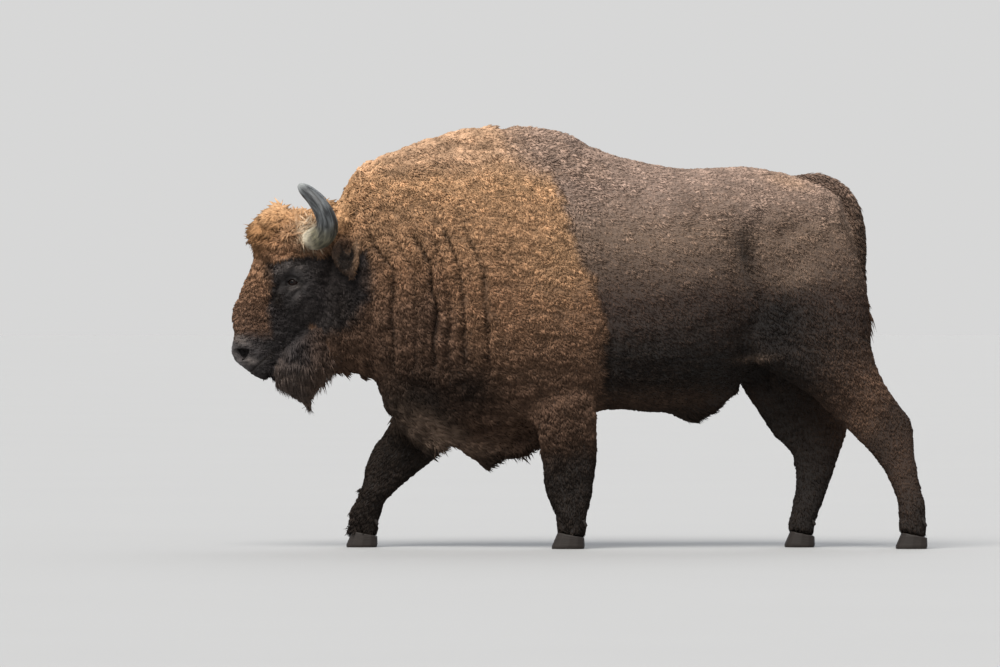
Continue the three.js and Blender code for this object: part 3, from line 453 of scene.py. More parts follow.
def clumps(points, size, seed):
    """The middle of the clump that each point belongs to, and its depth: 0 at a clump's edge."""
    place = points / np.asarray(size)
    cell = np.floor(place).astype(np.int64)
    near = np.full(len(points), 9.0)
    second = near.copy()
    middle = np.zeros_like(points)
    for offset in itertools.product((-1, 0, 1), repeat=3):
        here = cell + np.array(offset)
        spot = here + np.stack([lattice(here, seed + axis) for axis in range(3)], axis=1)
        away = np.linalg.norm(place - spot, axis=1)
        closer = away < near
        second = np.where(closer, near, np.minimum(second, away))
        near = np.where(closer, away, near)
        middle[closer] = spot[closer]
    return middle * np.asarray(size), np.clip(second - near, 0.0, 1.0)


def unit(vectors):
    """The vectors at length one."""
    return vectors / np.maximum(np.linalg.norm(vectors, axis=-1, keepdims=True), 1e-9)


def blob(points, place, reach, turn=0.0):
    """1 in the middle of an oval in side view, falling to 0 outside it."""
    x, z = points[:, 0] - place[0], points[:, 2] - place[1]
    c, s = math.cos(turn), math.sin(turn)
    return np.exp(-((x * c + z * s) / reach[0]) ** 2 - ((z * c - x * s) / reach[1]) ** 2)


def in_head(points):
    """Distances along the head's axis and towards the front of the face."""
    return (points - NOSE) @ HEAD_AXIS, (points - NOSE) @ HEAD_FRONT


def mantle_share(points, softness=0.03):
    """1 on the mantle and everything in front of it, 0 on the hindquarters."""
    return ease(softness, -softness, points[:, 0] - along(MANTLE_EDGE, points[:, 2]))


def brow_line(x):
    """Level where the forelock ends and the dark face begins."""
    return 1.205 + 0.16 * np.clip(x + 1.16, 0.0, 0.3)


def neck_folds(points):
    """Depth of the upright folds of the neck, up to 1, and below 0 on the ridges beside them."""
    x, z = points[:, 0], points[:, 2]
    sway = 0.020 * noise(points, 0.14, 31) + 0.004 * noise(points, 0.04, 32)
    lean = x + 0.5 * np.clip(z - 1.16, 0.0, 0.3) + sway
    depth = sum(strength * (1.20 * np.exp(-((lean - place) / CREASE_WIDTH) ** 2)
                            - 0.35 * np.exp(-((lean - place) / CREASE_WIDTH / 2.3) ** 2))
                for place, strength in NECK_CREASES.values())
    reach = ease(0.66, 0.86, z) * ease(1.44, 1.24, z)
    return np.clip(depth * reach * (0.85 + 0.45 * noise(points, 0.08, 33)), -0.35, 1.0)


def ripples(points):
    """Short waves that cross the lie of the coat, sloping down towards the tail, from -1 to 1."""
    x, y, z = points.T
    turned = np.stack([0.97 * x - 0.24 * z, y, 0.97 * z + 0.24 * x], axis=1)
    mantle = mantle_share(points, 0.05)
    return (noise(turned, (0.052, 0.052, 0.017), 34) * mantle
            + noise(turned, (0.036, 0.036, 0.011), 35) * (1.0 - mantle))


def body_forms(points):
    """Height of the bones, muscles and hollows that show through the coat of the body."""
    return sum(height * blob(points, place, reach, turn)
               for place, reach, turn, height in BODY_FORMS.values())


# ---------- Growth of the coat ----------

def growth(points, node_ids):
    """Length, lift at root and tip, curl and lie of the coat at each point."""
    rows = list(GROWTH.values())
    weights = np.stack([np.exp(-((points[:, 0] - x) ** 2 + (points[:, 2] - z) ** 2) / reach ** 2)
                        for x, z, reach, *_ in rows], axis=1) + 1e-12
    weights /= weights.sum(axis=1, keepdims=True)
    field = weights @ np.array([(*values, *lie) for _, _, _, *values, lie in rows])
    for node, (size, root, tip, curl, lie) in OWN_GROWTH.items():
        field[node_ids == FLESH.index(node)] = (size, root, tip, curl, *lie)
    beard = node_ids == FLESH.index("beard")
    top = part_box("beard")[1][2]
    field[beard, 0] *= 1.0 - 0.75 * ease(top - 0.13, top, points[beard, 2])
    field[beard, 0] *= 0.55 + 0.45 * ease(top - 0.28, top - 0.18, points[beard, 2])
    feet = ease(0.13, 0.06, points[:, 2])
    field[:, 0] += 0.011 * feet
    field[:, 1:3] *= 1.0 - 0.65 * feet[:, None]
    field[:, 4] *= 1.0 - 0.8 * feet
    return field


def coat_depth(field):
    """How far the tips of the coat stand off the skin."""
    root, tip = np.radians(field[:, 1]), np.radians(field[:, 2])
    return field[:, 0] * (0.45 * np.sin(root) + 0.55 * np.sin(tip))


# ---------- Markings, with painted light and shade ---

def paint_of(name):
    """One of the named colours."""
    return np.array(getattr(bpy.context.scene.wisent_colours, name))


def shades(level, stops):
    """Named colours blended up the body: each stop is a level and a colour."""
    places, names = zip(*stops)
    table = np.array([paint_of(name) for name in names])
    return np.stack([np.interp(level, places, column) for column in table.T], axis=1)


def lay(colours, name, mask, strength=1.0):
    """Paints a named colour where the mask is 1."""
    cover = np.clip(mask * strength, 0.0, 1.0)[:, None]
    return colours * (1.0 - cover) + paint_of(name) * cover


def lay_patches(colours, points, patches, within=1.0):
    """Paints a table of patches in its order, only where within is 1."""
    for name, place, reach, turn, strength in patches.values():
        colours = lay(colours, name, blob(points, place, reach, turn) * within, strength)
    return colours


def rear_colours(points, level):
    """Hindquarters: pale along the back, darkening down the flank to a black belly."""
    return lay_patches(shades(level, REAR_SHADES), points, REAR_PATCHES)


def mantle_colours(points, level):
    """Mantle: gold over the hump, brown on the shoulder, dark below, and darker sooner on the neck as
    painted shade of its recess.
    """
    x, z = points[:, 0], points[:, 2]
    low = NECK_PAINTED_SHADE * ease(-0.42, -0.64, x) * (1.0 - 0.75 * ease(0.92, 1.25, z))
    colours = lay_patches(shades(level - low, MANTLE_SHADES), points, MANTLE_PATCHES)
    crest = ease(*CREST_LEVELS, level + 0.10 * (x + 0.2)) * ease(-0.40, -0.14, x)
    colours = lay(colours, "drab", crest, 0.85)
    colours = lay(colours, "pitch", ease(0.46, 0.34, level), 0.85)
    return lay_patches(colours, points, TOP_PATCHES)


def body_colours(points, wander):
    """The colours of mantle and hindquarters on either side of an uneven edge, and painted shade in
    the folds of the neck.
    """
    x, z = points[:, 0], points[:, 2]
    level = z + wander
    mantle = mantle_share(points + 0.016 * noise(points, 0.035, 54)[:, None], 0.028)
    mantle += (0.5 - mantle) * 0.8 * ease(*CREST_LEVELS, level)
    mantle *= x <= along(MANTLE_EDGE, z) + 0.25
    split = mantle[:, None]
    colours = rear_colours(points, level) * (1.0 - split) + mantle_colours(points, level) * split
    # Painted shade in the upright folds of the neck.
    return lay(colours, "pitch", neck_folds(points), 0.42)


def forelock_colours(colours, points, crown, wander):
    """A golden forelock with pale tips and shadows between its curls."""
    x, z = points[:, 0], points[:, 2]
    golden = crown * ease(1.24, 1.38, z + 0.45 * np.clip(-1.2 - x, 0.0, 0.3))
    tips = ease(1.30, 1.41, z + 0.5 * np.clip(-1.29 - x, 0.0, 0.3) + wander)
    curls = 0.5 + 0.5 * noise(points, 0.05, 55)
    colours = lay(colours, "chestnut", crown, 0.9)
    colours = lay(colours, "amber", golden, 0.95)
    colours = lay(colours, "umber", golden * (1.0 - tips) * curls, 0.45)
    return lay(colours, "gold", golden * tips, 0.75)


def head_colours(colours, points, is_head, wander):
    """A dark face with brown curls down the bridge of the nose, under the forelock."""
    x, z = points[:, 0], points[:, 2]
    under_brow = ease(0.012, -0.012, z - brow_line(x) - 0.6 * wander)
    behind_face = x + 0.875 + 1.05 * np.clip(1.05 - z, 0.0, 0.4)
    streaks = 0.5 + 0.5 * noise(points, (0.022, 0.022, 0.12), 53)
    face = under_brow * ease(0.66, 0.76, z)
    colours = lay(colours, "umber", face * ease(0.16, -0.02, behind_face) * streaks)
    colours = lay(colours, "soot", face * ease(0.055, -0.055, behind_face + 1.6 * wander))
    colours = lay(colours, "soot", is_head * under_brow * ease(-1.06, -1.14, x))
    bridge = ease(-1.262, -1.300, x + 0.25 * np.clip(z - 1.15, 0.0, 0.1) + 0.7 * wander)
    bridge *= ease(0.84, 0.92, z + 0.9 * wander)
    colours = lay(colours, "russet", bridge, 0.95)
    colours = lay(colours, "chestnut", bridge * ease(0.94, 1.18, z), 0.9)
    crown = ease(-0.90, -0.98, x) * (1.0 - under_brow)
    colours = forelock_colours(colours, points, crown, wander)
    return lay_patches(colours, points, FACE_PATCHES, x < FACE_PATCHES_END)


def small_part_colours(colours, points, is_node):
    """The beard, the ears with their dark inside, painted shade in the slit of the mouth, and the
    tail.
    """
    x, z = points[:, 0], points[:, 2]
    beard, tail = is_node["beard"], is_node["tail"]
    colours = lay(colours, "soot", beard)
    colours = lay(colours, "umber", beard * ease(-1.18, -1.06, x), 0.6)
    colours = lay(colours, "taupe", beard * ease(0.84, 0.74, z), 0.22)
    ears = is_node["ear_left"] + is_node["ear_right"]
    colours = lay(colours, "umber", ears)
    colours = lay(colours, "taupe", ears, 0.40)
    colours = lay(colours, "tan", ears * ease(-0.945, -0.925, x + 0.1 * (z - 1.2)), 0.5)
    colours = lay(colours, "pitch", ears * blob(points, *EAR_INSIDE), 2.2)
    # Painted shade in the slit between the lips.
    colours = lay(colours, "pitch", mouth_line(points) * (x < FINE_MUZZLE))
    colours = lay(colours, "umber", tail, 0.55)
    colours = lay(colours, "pitch", tail * ease(1.13, 1.17, x) * (z < 1.5), 0.6)
    return lay(colours, "umber", is_node["tail_tuft"])


def markings_and_painted_light(points, node_ids):
    """Colour of the coat at each point, the same for the skin and every tuft, with painted light and
    shade laid into it.
    """
    wander = 0.030 * noise(points, 0.16, 51) + 0.015 * noise(points, 0.05, 52)
    is_node = {node: (node_ids == number) * 1.0 for number, node in enumerate(FLESH)}
    colours = body_colours(points, wander)
    colours = head_colours(colours, points, is_node["head"], wander)
    return small_part_colours(colours, points, is_node)


# ---------- Meshes ----------

def merged_copy(node):
    """A bmesh of a CAD node with its loose triangles joined."""
    copy = bmesh.new()
    copy.from_mesh(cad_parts[node].data)
    bmesh.ops.remove_doubles(copy, verts=copy.verts, dist=1e-5)
    return copy


def coordinates(mesh):
    """The mesh's points as rows."""
    flat = np.zeros(len(mesh.vertices) * 3)
    mesh.vertices.foreach_get("co", flat)
    return flat.reshape(-1, 3)


def set_coordinates(mesh, points):
    """Moves the mesh's points."""
    mesh.vertices.foreach_set("co", points.astype(np.float32).ravel())
    mesh.update()


def normals_of(mesh):
    """The mesh's outward directions at its points."""
    flat = np.zeros(len(mesh.vertices) * 3, np.float32)
    mesh.vertex_normals.foreach_get("vector", flat)
    return flat.reshape(-1, 3).astype(float)


def edges_of(mesh):
    """The mesh's edges as pairs of points."""
    flat = np.zeros(len(mesh.edges) * 2, np.int32)
    mesh.edges.foreach_get("vertices", flat)
    return flat.reshape(-1, 2)


def spread(values, edges, rounds, rates=(0.5,)):
    """Evens out values over a surface: each moves towards its neighbours, at every rate in turn."""
    values = np.array(values, float)
    flat = values.reshape(len(values), -1)
    a, b = edges.T
    count = np.bincount(edges.ravel(), minlength=len(values)).clip(1)
    for step in range(rounds):
        for column in flat.T:
            total = np.bincount(a, column[b], len(values)) + np.bincount(b, column[a], len(values))
            column += rates[step % len(rates)] * (total / count - column)
    return flat.reshape(values.shape)


def add_object(name, mesh, material, replaces=()):
    """A finished piece at the origin, riding on the body."""
    mesh.name = name
    obj = bpy.data.objects.new(name, mesh)
    bpy.context.scene.collection.objects.link(obj)
    mesh.materials.clear()
    mesh.materials.append(material)
    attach(obj, BODY)
    if replaces:
        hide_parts(*replaces)
    return obj


def mesh_of(shape, name, smooth=True):
    """A mesh from a bmesh, which is freed."""
    mesh = bpy.data.meshes.new(name)
    shape.to_mesh(mesh)
    shape.free()
    if smooth:
        mesh.shade_smooth()
    return mesh


def remeshed(mesh, size):
    """A closed surface of even squares around the mesh."""
    obj = bpy.data.objects.new("draft", mesh)
    bpy.context.scene.collection.objects.link(obj)
    modifier = obj.modifiers.new("grain", "REMESH")
    modifier.mode = "VOXEL"
    modifier.voxel_size = size
    modifier.adaptivity = 0.0
    result = bpy.data.meshes.new_from_object(
        obj.evaluated_get(bpy.context.evaluated_depsgraph_get()))
    bpy.data.objects.remove(obj)
    bpy.data.meshes.remove(mesh)
    return result


def magnified(points, outwards):
    """Enlarges the head before it is rebuilt, or brings it back to size."""
    x, y, z = np.array(points, float).T
    factor = FINE_SCALE if outwards else 1.0 / FINE_SCALE
    moved = np.where(x < FINE_START, FINE_START + (x - FINE_START) * factor, x)
    real_x = x if outwards else moved
    fineness = np.clip((FINE_START - real_x) / (FINE_START - FINE_FULL), 0.0, 1.0)
    scale = 1.0 + (FINE_SCALE - 1.0) * fineness
    if outwards:
        return np.stack([moved, y * scale, FINE_LEVEL + (z - FINE_LEVEL) * scale], axis=1)
    return np.stack([moved, y / scale, FINE_LEVEL + (z - FINE_LEVEL) / scale], axis=1)


# ---------- Skin ----------

def flesh_tree():
    """A search tree over the flesh nodes, and the node of each of its triangles."""
    points, faces, owners = [], [], []
    for number, node in enumerate(FLESH):
        copy = merged_copy(node)
        start = len(points)
        points += [vert.co.copy() for vert in copy.verts]
        faces += [[start + vert.index for vert in face.verts] for face in copy.faces]
        owners += [number] * len(copy.faces)
        copy.free()
    return BVHTree.FromPolygons(points, faces), np.array(owners)


def node_of(points):
    """The number in FLESH of the node nearest to each point."""
    tree, owners = flesh_tree()
    return owners[[tree.find_nearest(point)[2] for point in map(Vector, points)]]


def rough_skin(size):
    """One closed surface around all flesh nodes, finer on the head."""
    whole = bmesh.new()
    for node in FLESH:
        copy = merged_copy(node)
        if node.startswith("ear"):
            copy.normal_update()
            for vert in copy.verts:
                vert.co += vert.normal * EAR_WALL
        part = bpy.data.meshes.new(node)
        copy.to_mesh(part)
        copy.free()
        whole.from_mesh(part)
        bpy.data.meshes.remove(part)
    bmesh.ops.subdivide_edges(whole, edges=whole.edges, cuts=3, use_grid_fill=True)
    mesh = bpy.data.meshes.new("flesh")
    whole.to_mesh(mesh)
    whole.free()
    set_coordinates(mesh, magnified(coordinates(mesh), True))
    mesh = remeshed(mesh, size)
    set_coordinates(mesh, magnified(coordinates(mesh), False))
    return mesh


def thickness(points, normals, mesh):
    """Distance through the flesh under each point."""
    shape = bmesh.new()
    shape.from_mesh(mesh)
    tree = BVHTree.FromBMesh(shape)
    shape.free()
    found = []
    for point, normal in zip(map(Vector, points), map(Vector, normals)):
        distance = tree.ray_cast(point - normal * 0.0008, -normal, FLESH_DEPTH)[3]
        found.append(FLESH_DEPTH if distance is None else distance)
    return np.array(found)


def eye_frame(side):
    """Middle of an eyeball, and its outward, lengthwise and upward directions."""
    low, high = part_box(f"eye_{side}")
    look = unit(np.array([-EYE_LOOK[0], SIDES[side] * EYE_LOOK[1], EYE_LOOK[2]]))
    tilted = np.array([math.cos(EYE_TILT), 0.0, math.sin(EYE_TILT)])
    back = unit(tilted - look * (tilted @ look))
    up = unit(np.cross(look, back)) * SIDES[side]
    up = up if up[2] > 0 else -up
    return np.array((low + high) / 2), look, back, up


def shape_lids(points):
    """Wraps the skin over the eyeballs, with an almond opening between the lids."""
    ball_radius = EYE_RADIUS + LID_THICKNESS
    for side in SIDES:
        middle, look, back, up = eye_frame(side)
        offset = points - middle
        along_eye, over_eye, out = offset @ back, offset @ up, offset @ look
        near = (np.hypot(along_eye, over_eye) < LID_REACH) & (out > -0.03)
        u, w, h = along_eye[near], over_eye[near], out[near]
        opening = np.abs(w) / EYE_OPENING[1] + (u / EYE_OPENING[0]) ** 2
        radius = np.hypot(u, w)
        ball = np.sqrt(np.maximum(ball_radius ** 2 - radius ** 2, 0.0))
        hold = ease(1.25, 0.65, radius / ball_radius)
        outer = h * (1.0 - hold) + ball * hold
        for place, width, height, above, below in LID_RIDGES.values():
            outer += height * np.exp(-((opening - place) / width) ** 2) * np.where(w > 0, above, below)
        cut = ease(1.06, 0.80, opening)
        points[near] += np.outer(outer * (1.0 - cut) + (ball - LID_DEPTH) * cut - h, look)
    return points


def head_forms(points):
    """Height of the bony forms of the face on both sides, below zero in the hollows."""
    place, front = in_head(points)
    return sum(height * np.exp(-((place - a) / reach_a) ** 2 - ((front - b) / reach_b) ** 2)
               for a, b, reach_a, reach_b, height in HEAD_FORMS.values())


def nostril_depth(points):
    """Depth of the two comma-shaped nostrils, from 0 to 1."""
    x, z = points[:, 0] - NOSTRIL_PLACE[0], points[:, 2] - NOSTRIL_PLACE[1]
    u, w = x * 0.97 + z * 0.24, z * 0.97 - x * 0.24
    reach = (u / NOSTRIL_LENGTH) ** 2 + ((w - 5.0 * u * u) / (NOSTRIL_WIDTH - 0.25 * u)) ** 2
    return ease(1.15, 0.60, reach) * ease(*NOSTRIL_ACROSS, np.abs(points[:, 1]))


def mouth_line(points):
    """Depth of the slit between the lips, from 0 to 1."""
    place, front = in_head(points)
    slit = np.abs(front - MOUTH_START - MOUTH_SLOPE * place)
    return ease(0.007, 0.002, slit) * ease(MOUTH_LENGTH, MOUTH_LENGTH - 0.03, place)


def bare_share(points, node_ids):
    """1 where the skin shows: nose pad, lips and lids."""
    place, front = in_head(points)
    head = node_ids == FLESH.index("head")
    pad = ease(0.034, 0.000, place - 0.35 * front) * (front > -0.16)
    lids = np.zeros(len(points))
    for side in SIDES:
        middle, look, back, up = eye_frame(side)
        offset = points - middle
        ring = ease(0.032, 0.022, np.hypot(offset @ back, (offset @ up) * 1.25))
        lids = np.maximum(lids, ring * (offset @ look > -0.02))
    return np.clip(np.maximum(pad * head, lids), 0.0, 1.0)


def wants_detail(place, centres, eye_reach, nose_reach):
    """Whether a point of the face lies near an eye or on the muzzle."""
    if place.x >= FINE_FACE:
        return False
    if min((place - centre).length for centre in centres) < eye_reach:
        return True
    return place.x < FINE_MUZZLE and (np.array(place) - NOSE) @ HEAD_AXIS < nose_reach


def refine(mesh):
    """Splits the skin around the eyes, nostrils and mouth into a finer net."""
    shape = bmesh.new()
    shape.from_mesh(mesh)
    centres = [Vector(eye_frame(side)[0]) for side in SIDES]
    for zone in FINE_ZONES:
        chosen = [vert for vert in shape.verts if wants_detail(vert.co, centres, *zone)]
        edges = {edge for vert in chosen for edge in vert.link_edges}
        bmesh.ops.subdivide_edges(shape, edges=sorted(edges, key=lambda edge: edge.index), cuts=1,
                                  use_grid_fill=True, smooth=0.0)
        bmesh.ops.triangulate(shape, faces=[face for face in shape.faces if len(face.verts) > 4])
        shape.verts.index_update()
        shape.edges.index_update()
    shape.to_mesh(mesh)
    shape.free()
    return mesh


def fold(points, normals, depth):
    """Presses the surface in by that depth."""
    return points - normals * depth[:, None]


def coat_room(mesh, points, normals, node_ids, bare):
    """How far the skin is set in at each point to leave room for the coat."""
    field = spread(growth(points, node_ids), edges_of(mesh), 12)
    lie = unit(np.stack([field[:, 4], np.zeros(len(points)), field[:, 5]], axis=1))
    hang = np.clip((normals * lie).sum(axis=1), 0.0, 1.0) ** 2 * field[:, 0] * HANGING_SHARE
    coat_length = bpy.context.scene.wisent_sizes.coat_length
    depth = (coat_depth(field) + hang) * coat_length * (1.0 - 0.8 * bare)
    depth = np.minimum(depth, 0.30 * thickness(points, normals, mesh))
    depth[np.isin(node_ids, [FLESH.index("ear_left"), FLESH.index("ear_right")])] = 0.0
    depth *= 1.0 - 0.7 * ease(0.14, 0.06, points[:, 2])
    return spread(depth, edges_of(mesh), 6)


def hollows(points, node_ids):
    """Depth of the creases, forms, nostrils and unevenness that are pressed into the skin."""
    x, z = points[:, 0], points[:, 2]
    mantle = mantle_share(points)
    behind = x - along(MANTLE_EDGE, z)
    depth = 0.015 * neck_folds(points) - body_forms(points)
    depth += 0.005 * noise(points, 0.045, 61) * mantle
    depth += 0.0015 * noise(points, (0.05, 0.05, 0.02), 62) * (1.0 - mantle)
    depth += MANTLE_STEP * np.exp(-((behind - 0.035) / 0.030) ** 2) * ease(0.60, 0.75, z)
    depth *= ease(-0.98, -0.85, x)
    depth += 0.026 * nostril_depth(points) + 0.002 * mouth_line(points)
    depth += 0.0022 * noise(points, (0.016, 0.016, 0.008), 63) * ease(-1.02, -1.12, x)
    return depth - head_forms(points) * (node_ids == FLESH.index("head"))


def build_skin():
    """The finished skin's mesh, with the node and bare share of each point."""
    mesh = rough_skin(bpy.context.scene.wisent_sizes.voxel)
    set_coordinates(mesh, spread(coordinates(mesh), edges_of(mesh), 60, (0.55, -0.57)))
    mesh = refine(mesh)
    points = coordinates(mesh)
    node_ids = node_of(points)
    normals = normals_of(mesh)
    bare = bare_share(points, node_ids)
    points = fold(points, normals, coat_room(mesh, points, normals, node_ids, bare))
    points = fold(points, normals, hollows(points, node_ids))
    set_coordinates(mesh, shape_lids(points))
    mesh.shade_smooth()
    return mesh, node_ids, bare


def write_colours(mesh, name, colours):
    """Stores a colour for each point of the mesh."""
    attribute = mesh.color_attributes.new(name, "FLOAT_COLOR", "POINT")
    values = np.concatenate([colours, np.ones((len(colours), 1))], axis=1)
    attribute.data.foreach_set("color", values.astype(np.float32).ravel())


# ---------- Coat ----------

def piece_ids(points, node_ids):
    """The coat piece that each point belongs to, by its number in COAT_PIECES."""
    names = list(COAT_PIECES)
    ids = np.full(len(points), names.index("flank"))
    x, z = points[:, 0], points[:, 2]
    of = {node: node_ids == number for number, node in enumerate(FLESH)}
    front = of["trunk"] & (x < along(MANTLE_EDGE, z) + 0.02)
    ids[of["trunk"] & (x > 0.62)] = names.index("rump")
    ids[front & (z > 1.12)] = names.index("mantle_upper")
    ids[front & (z <= 1.12)] = names.index("mantle_lower")
    ids[of["neck"]] = names.index("neck")
    ids[of["head"]] = names.index("face")
    ids[of["head"] & (z > brow_line(x))] = names.index("forelock")
    ids[of["beard"]] = names.index("beard")
    ids[of["ear_left"] | of["ear_right"]] = names.index("ears")
    ids[of["tail"] | of["tail_tuft"]] = names.index("tail")
    for leg in LEGS:
        ids[of[leg]] = names.index(leg)
    return ids


def scatter(corners, weights, count, random):
    """Roots spread over triangles in proportion to their weights: triangle numbers and shares."""
    total = np.cumsum(weights)
    picks = (np.arange(count) + random.random(count)) / count * total[-1]
    chosen = np.minimum(np.searchsorted(total, picks), len(weights) - 1)
    a, b = random.random((2, count))
    flip = a + b > 1.0
    a, b = np.where(flip, 1.0 - a, a), np.where(flip, 1.0 - b, b)
    return corners[chosen], np.stack([1.0 - a - b, a, b], axis=1)


def unwrapped(points, axis):
    """Places of the roots on a flat map: along the axis, and round the part's own middle line."""
    axis = unit(np.array(axis, float))
    side = np.array((0.0, 1.0, 0.0))
    if abs(axis[2]) < 0.9:
        side = unit(np.cross(axis, (0.0, 0.0, 1.0)))
    over = np.cross(side, axis)
    far, across, high = points @ axis, points @ side, points @ over
    stations = np.linspace(far.min(), far.max(), 24)
    reach = (stations[1] - stations[0]) * 1.5
    weights = np.exp(-((far[:, None] - stations) / reach) ** 2)
    weights /= weights.sum(axis=0)
    middle_across, middle_high = across @ weights, high @ weights
    angle = np.arctan2(across - np.interp(far, stations, middle_across),
                       high - np.interp(far, stations, middle_high))
    room = 1.0 - 2.0 * UNWRAP_MARGIN
    u = UNWRAP_MARGIN + room * (far - far.min()) / (far.max() - far.min())
    v = UNWRAP_MARGIN + room * (angle / (2.0 * math.pi) + 0.5)
    return np.stack([u, v], axis=1)


# The two kinds of tuft: a bent lock of ten triangles and a low flake of four. Each has its faces;
# its points, each from a place along the hair and moved across and up by shares of the width;
# their places on the tuft's patch of the unwrap; and how far along the hair they are.
TUFTS = {
    "lock": {
        "faces": [(0, 2, 5, 3), (1, 4, 5, 2), (0, 3, 4, 1), (3, 5, 6), (5, 4, 6), (4, 3, 6),
                  (0, 1, 2)],
        "points": [("sunk", 0.36, 0.0), ("sunk", -0.36, 0.0), ("root", 0.0, 0.10),
                   ("knee", 0.5, 0.0), ("knee", -0.5, 0.0), ("knee", 0.0, 0.34),
                   ("tip", 0.0, 0.0)],
        "patch": [(-0.5, 0.1), (0.5, 0.1), (0.0, 0.0), (-0.5, 0.55), (0.5, 0.55), (0.0, 0.5),
                  (0.0, 1.0)],
        "rise": [0.0, 0.0, 0.15, 0.5, 0.5, 0.6, 1.0],
    },
    "flake": {
        "faces": [(0, 2, 3), (1, 3, 2), (0, 1, 2), (0, 3, 1)],
        "points": [("sunk", 0.5, 0.0), ("sunk", -0.5, 0.0), ("knee", 0.0, 0.0), ("tip", 0.0, 0.0)],
        "patch": [(-0.5, 0.0), (0.5, 0.0), (0.0, 0.45), (0.0, 1.0)],
        "rise": [0.0, 0.0, 0.6, 1.0],
    },
}


def tuft_mesh(name, kind, points, tint_and_shade, colours, places):
    """One mesh of many closed tufts of a kind."""
    shape = TUFTS[kind]
    count, each = len(places), len(shape["rise"])
    mesh = bpy.data.meshes.new(name)
    mesh.vertices.add(count * each)
    mesh.vertices.foreach_set("co", points.astype(np.float32).ravel())
    loops = np.concatenate([np.array(face) for face in shape["faces"]])
    sizes = np.array([len(face) for face in shape["faces"]])
    starts = np.concatenate([[0], np.cumsum(sizes)[:-1]])
    mesh.loops.add(count * len(loops))
    mesh.polygons.add(count * len(sizes))
    base = np.arange(count)[:, None]
    mesh.loops.foreach_set("vertex_index", (base * each + loops).ravel().astype(np.int32))
    mesh.polygons.foreach_set("loop_start", (base * len(loops) + starts).ravel().astype(np.int32))
    mesh.update(calc_edges=True)
    mesh.shade_smooth()
    patches = places[:, None, :] + np.array(shape["patch"]) * UNWRAP_PATCH
    layer = mesh.uv_layers.new(name="OFBake")
    layer.data.foreach_set("uv", patches[:, loops, :].astype(np.float32).ravel())
    write_colours(mesh, "Coat", np.repeat(colours, each, axis=0))
    rise = np.tile(shape["rise"], count)
    write_colours(mesh, "Strand", np.stack([rise, np.repeat(tint_and_shade, each), rise * 0.0], axis=1))
    return mesh


def roots_on(skin, corners, count, random):
    """Roots of the tufts on the given triangles, with the skin's values at each."""
    a, b, c = (skin["points"][corners[:, k]] for k in range(3))
    area = np.linalg.norm(np.cross(b - a, c - a), axis=1) / 2.0
    cover = 1.0 - 0.97 * skin["bare"][corners].mean(axis=1)
    at, shares = scatter(corners, area * cover, count, random)
    roots = {"node_ids": skin["node_ids"][at[:, 0]]}
    for key in ("points", "normals", "field", "bare"):
        values = skin[key][at]
        weights = shares if values.ndim == 2 else shares[:, :, None]
        roots[key] = (values * weights).sum(axis=1)
    roots["normals"] = unit(roots["normals"])
    return roots


def flattened(vectors, normal):
    """The part of each vector that lies along the skin."""
    return vectors - normal * (vectors * normal).sum(axis=1, keepdims=True)


def gathering(root, long):
    """The middle of the clump that each tuft leans to, and its depth inside it."""
    sizes = bpy.context.scene.wisent_sizes
    size = sizes.fine_clump + (sizes.clump - sizes.fine_clump) * ease(0.015, 0.040, long)
    middle, depth = root.copy(), np.zeros(len(root))
    kinds = ((sizes.fine_clump, size < CLUMP_CHANGE, 71), (sizes.clump, size >= CLUMP_CHANGE, 76))
    for width, chosen, seed in kinds:
        if chosen.any():
            middle[chosen], depth[chosen] = clumps(root[chosen], width * CLUMP_FORM, seed)
    return middle, depth


def waves_and_streaks(root, node_ids):
    """Waves across the coat, streaks down the hanging hair of the neck, and where it hangs."""
    x, z = root[:, 0], root[:, 2]
    hanging = ease(-0.48, -0.70, x) * ease(1.48, 1.30, z) * (node_ids != FLESH.index("head"))
    wave = ripples(root) * ease(0.45, 0.75, z) * (1.0 - 0.6 * hanging)
    return wave, noise(root, (0.024, 0.024, 0.14), 53) * hanging, hanging


def combed(root, normal, field, woolly, random):
    """The way each tuft lies on the skin, uneven on two scales and from tuft to tuft."""
    lie = np.stack([field[:, 4], np.zeros(len(root)), field[:, 5]], axis=1)
    broad = np.stack([noise(root, 0.09, seed) for seed in (81, 82, 83)], axis=1)
    narrow = np.stack([noise(root, 0.021, seed) for seed in (86, 87, 88)], axis=1)
    lie += 0.22 * broad
    lie += (0.14 + 0.30 * woolly)[:, None] * narrow
    lie += (0.06 + 0.11 * woolly)[:, None] * random.normal(size=(len(root), 3))
    return unit(flattened(lie, normal))


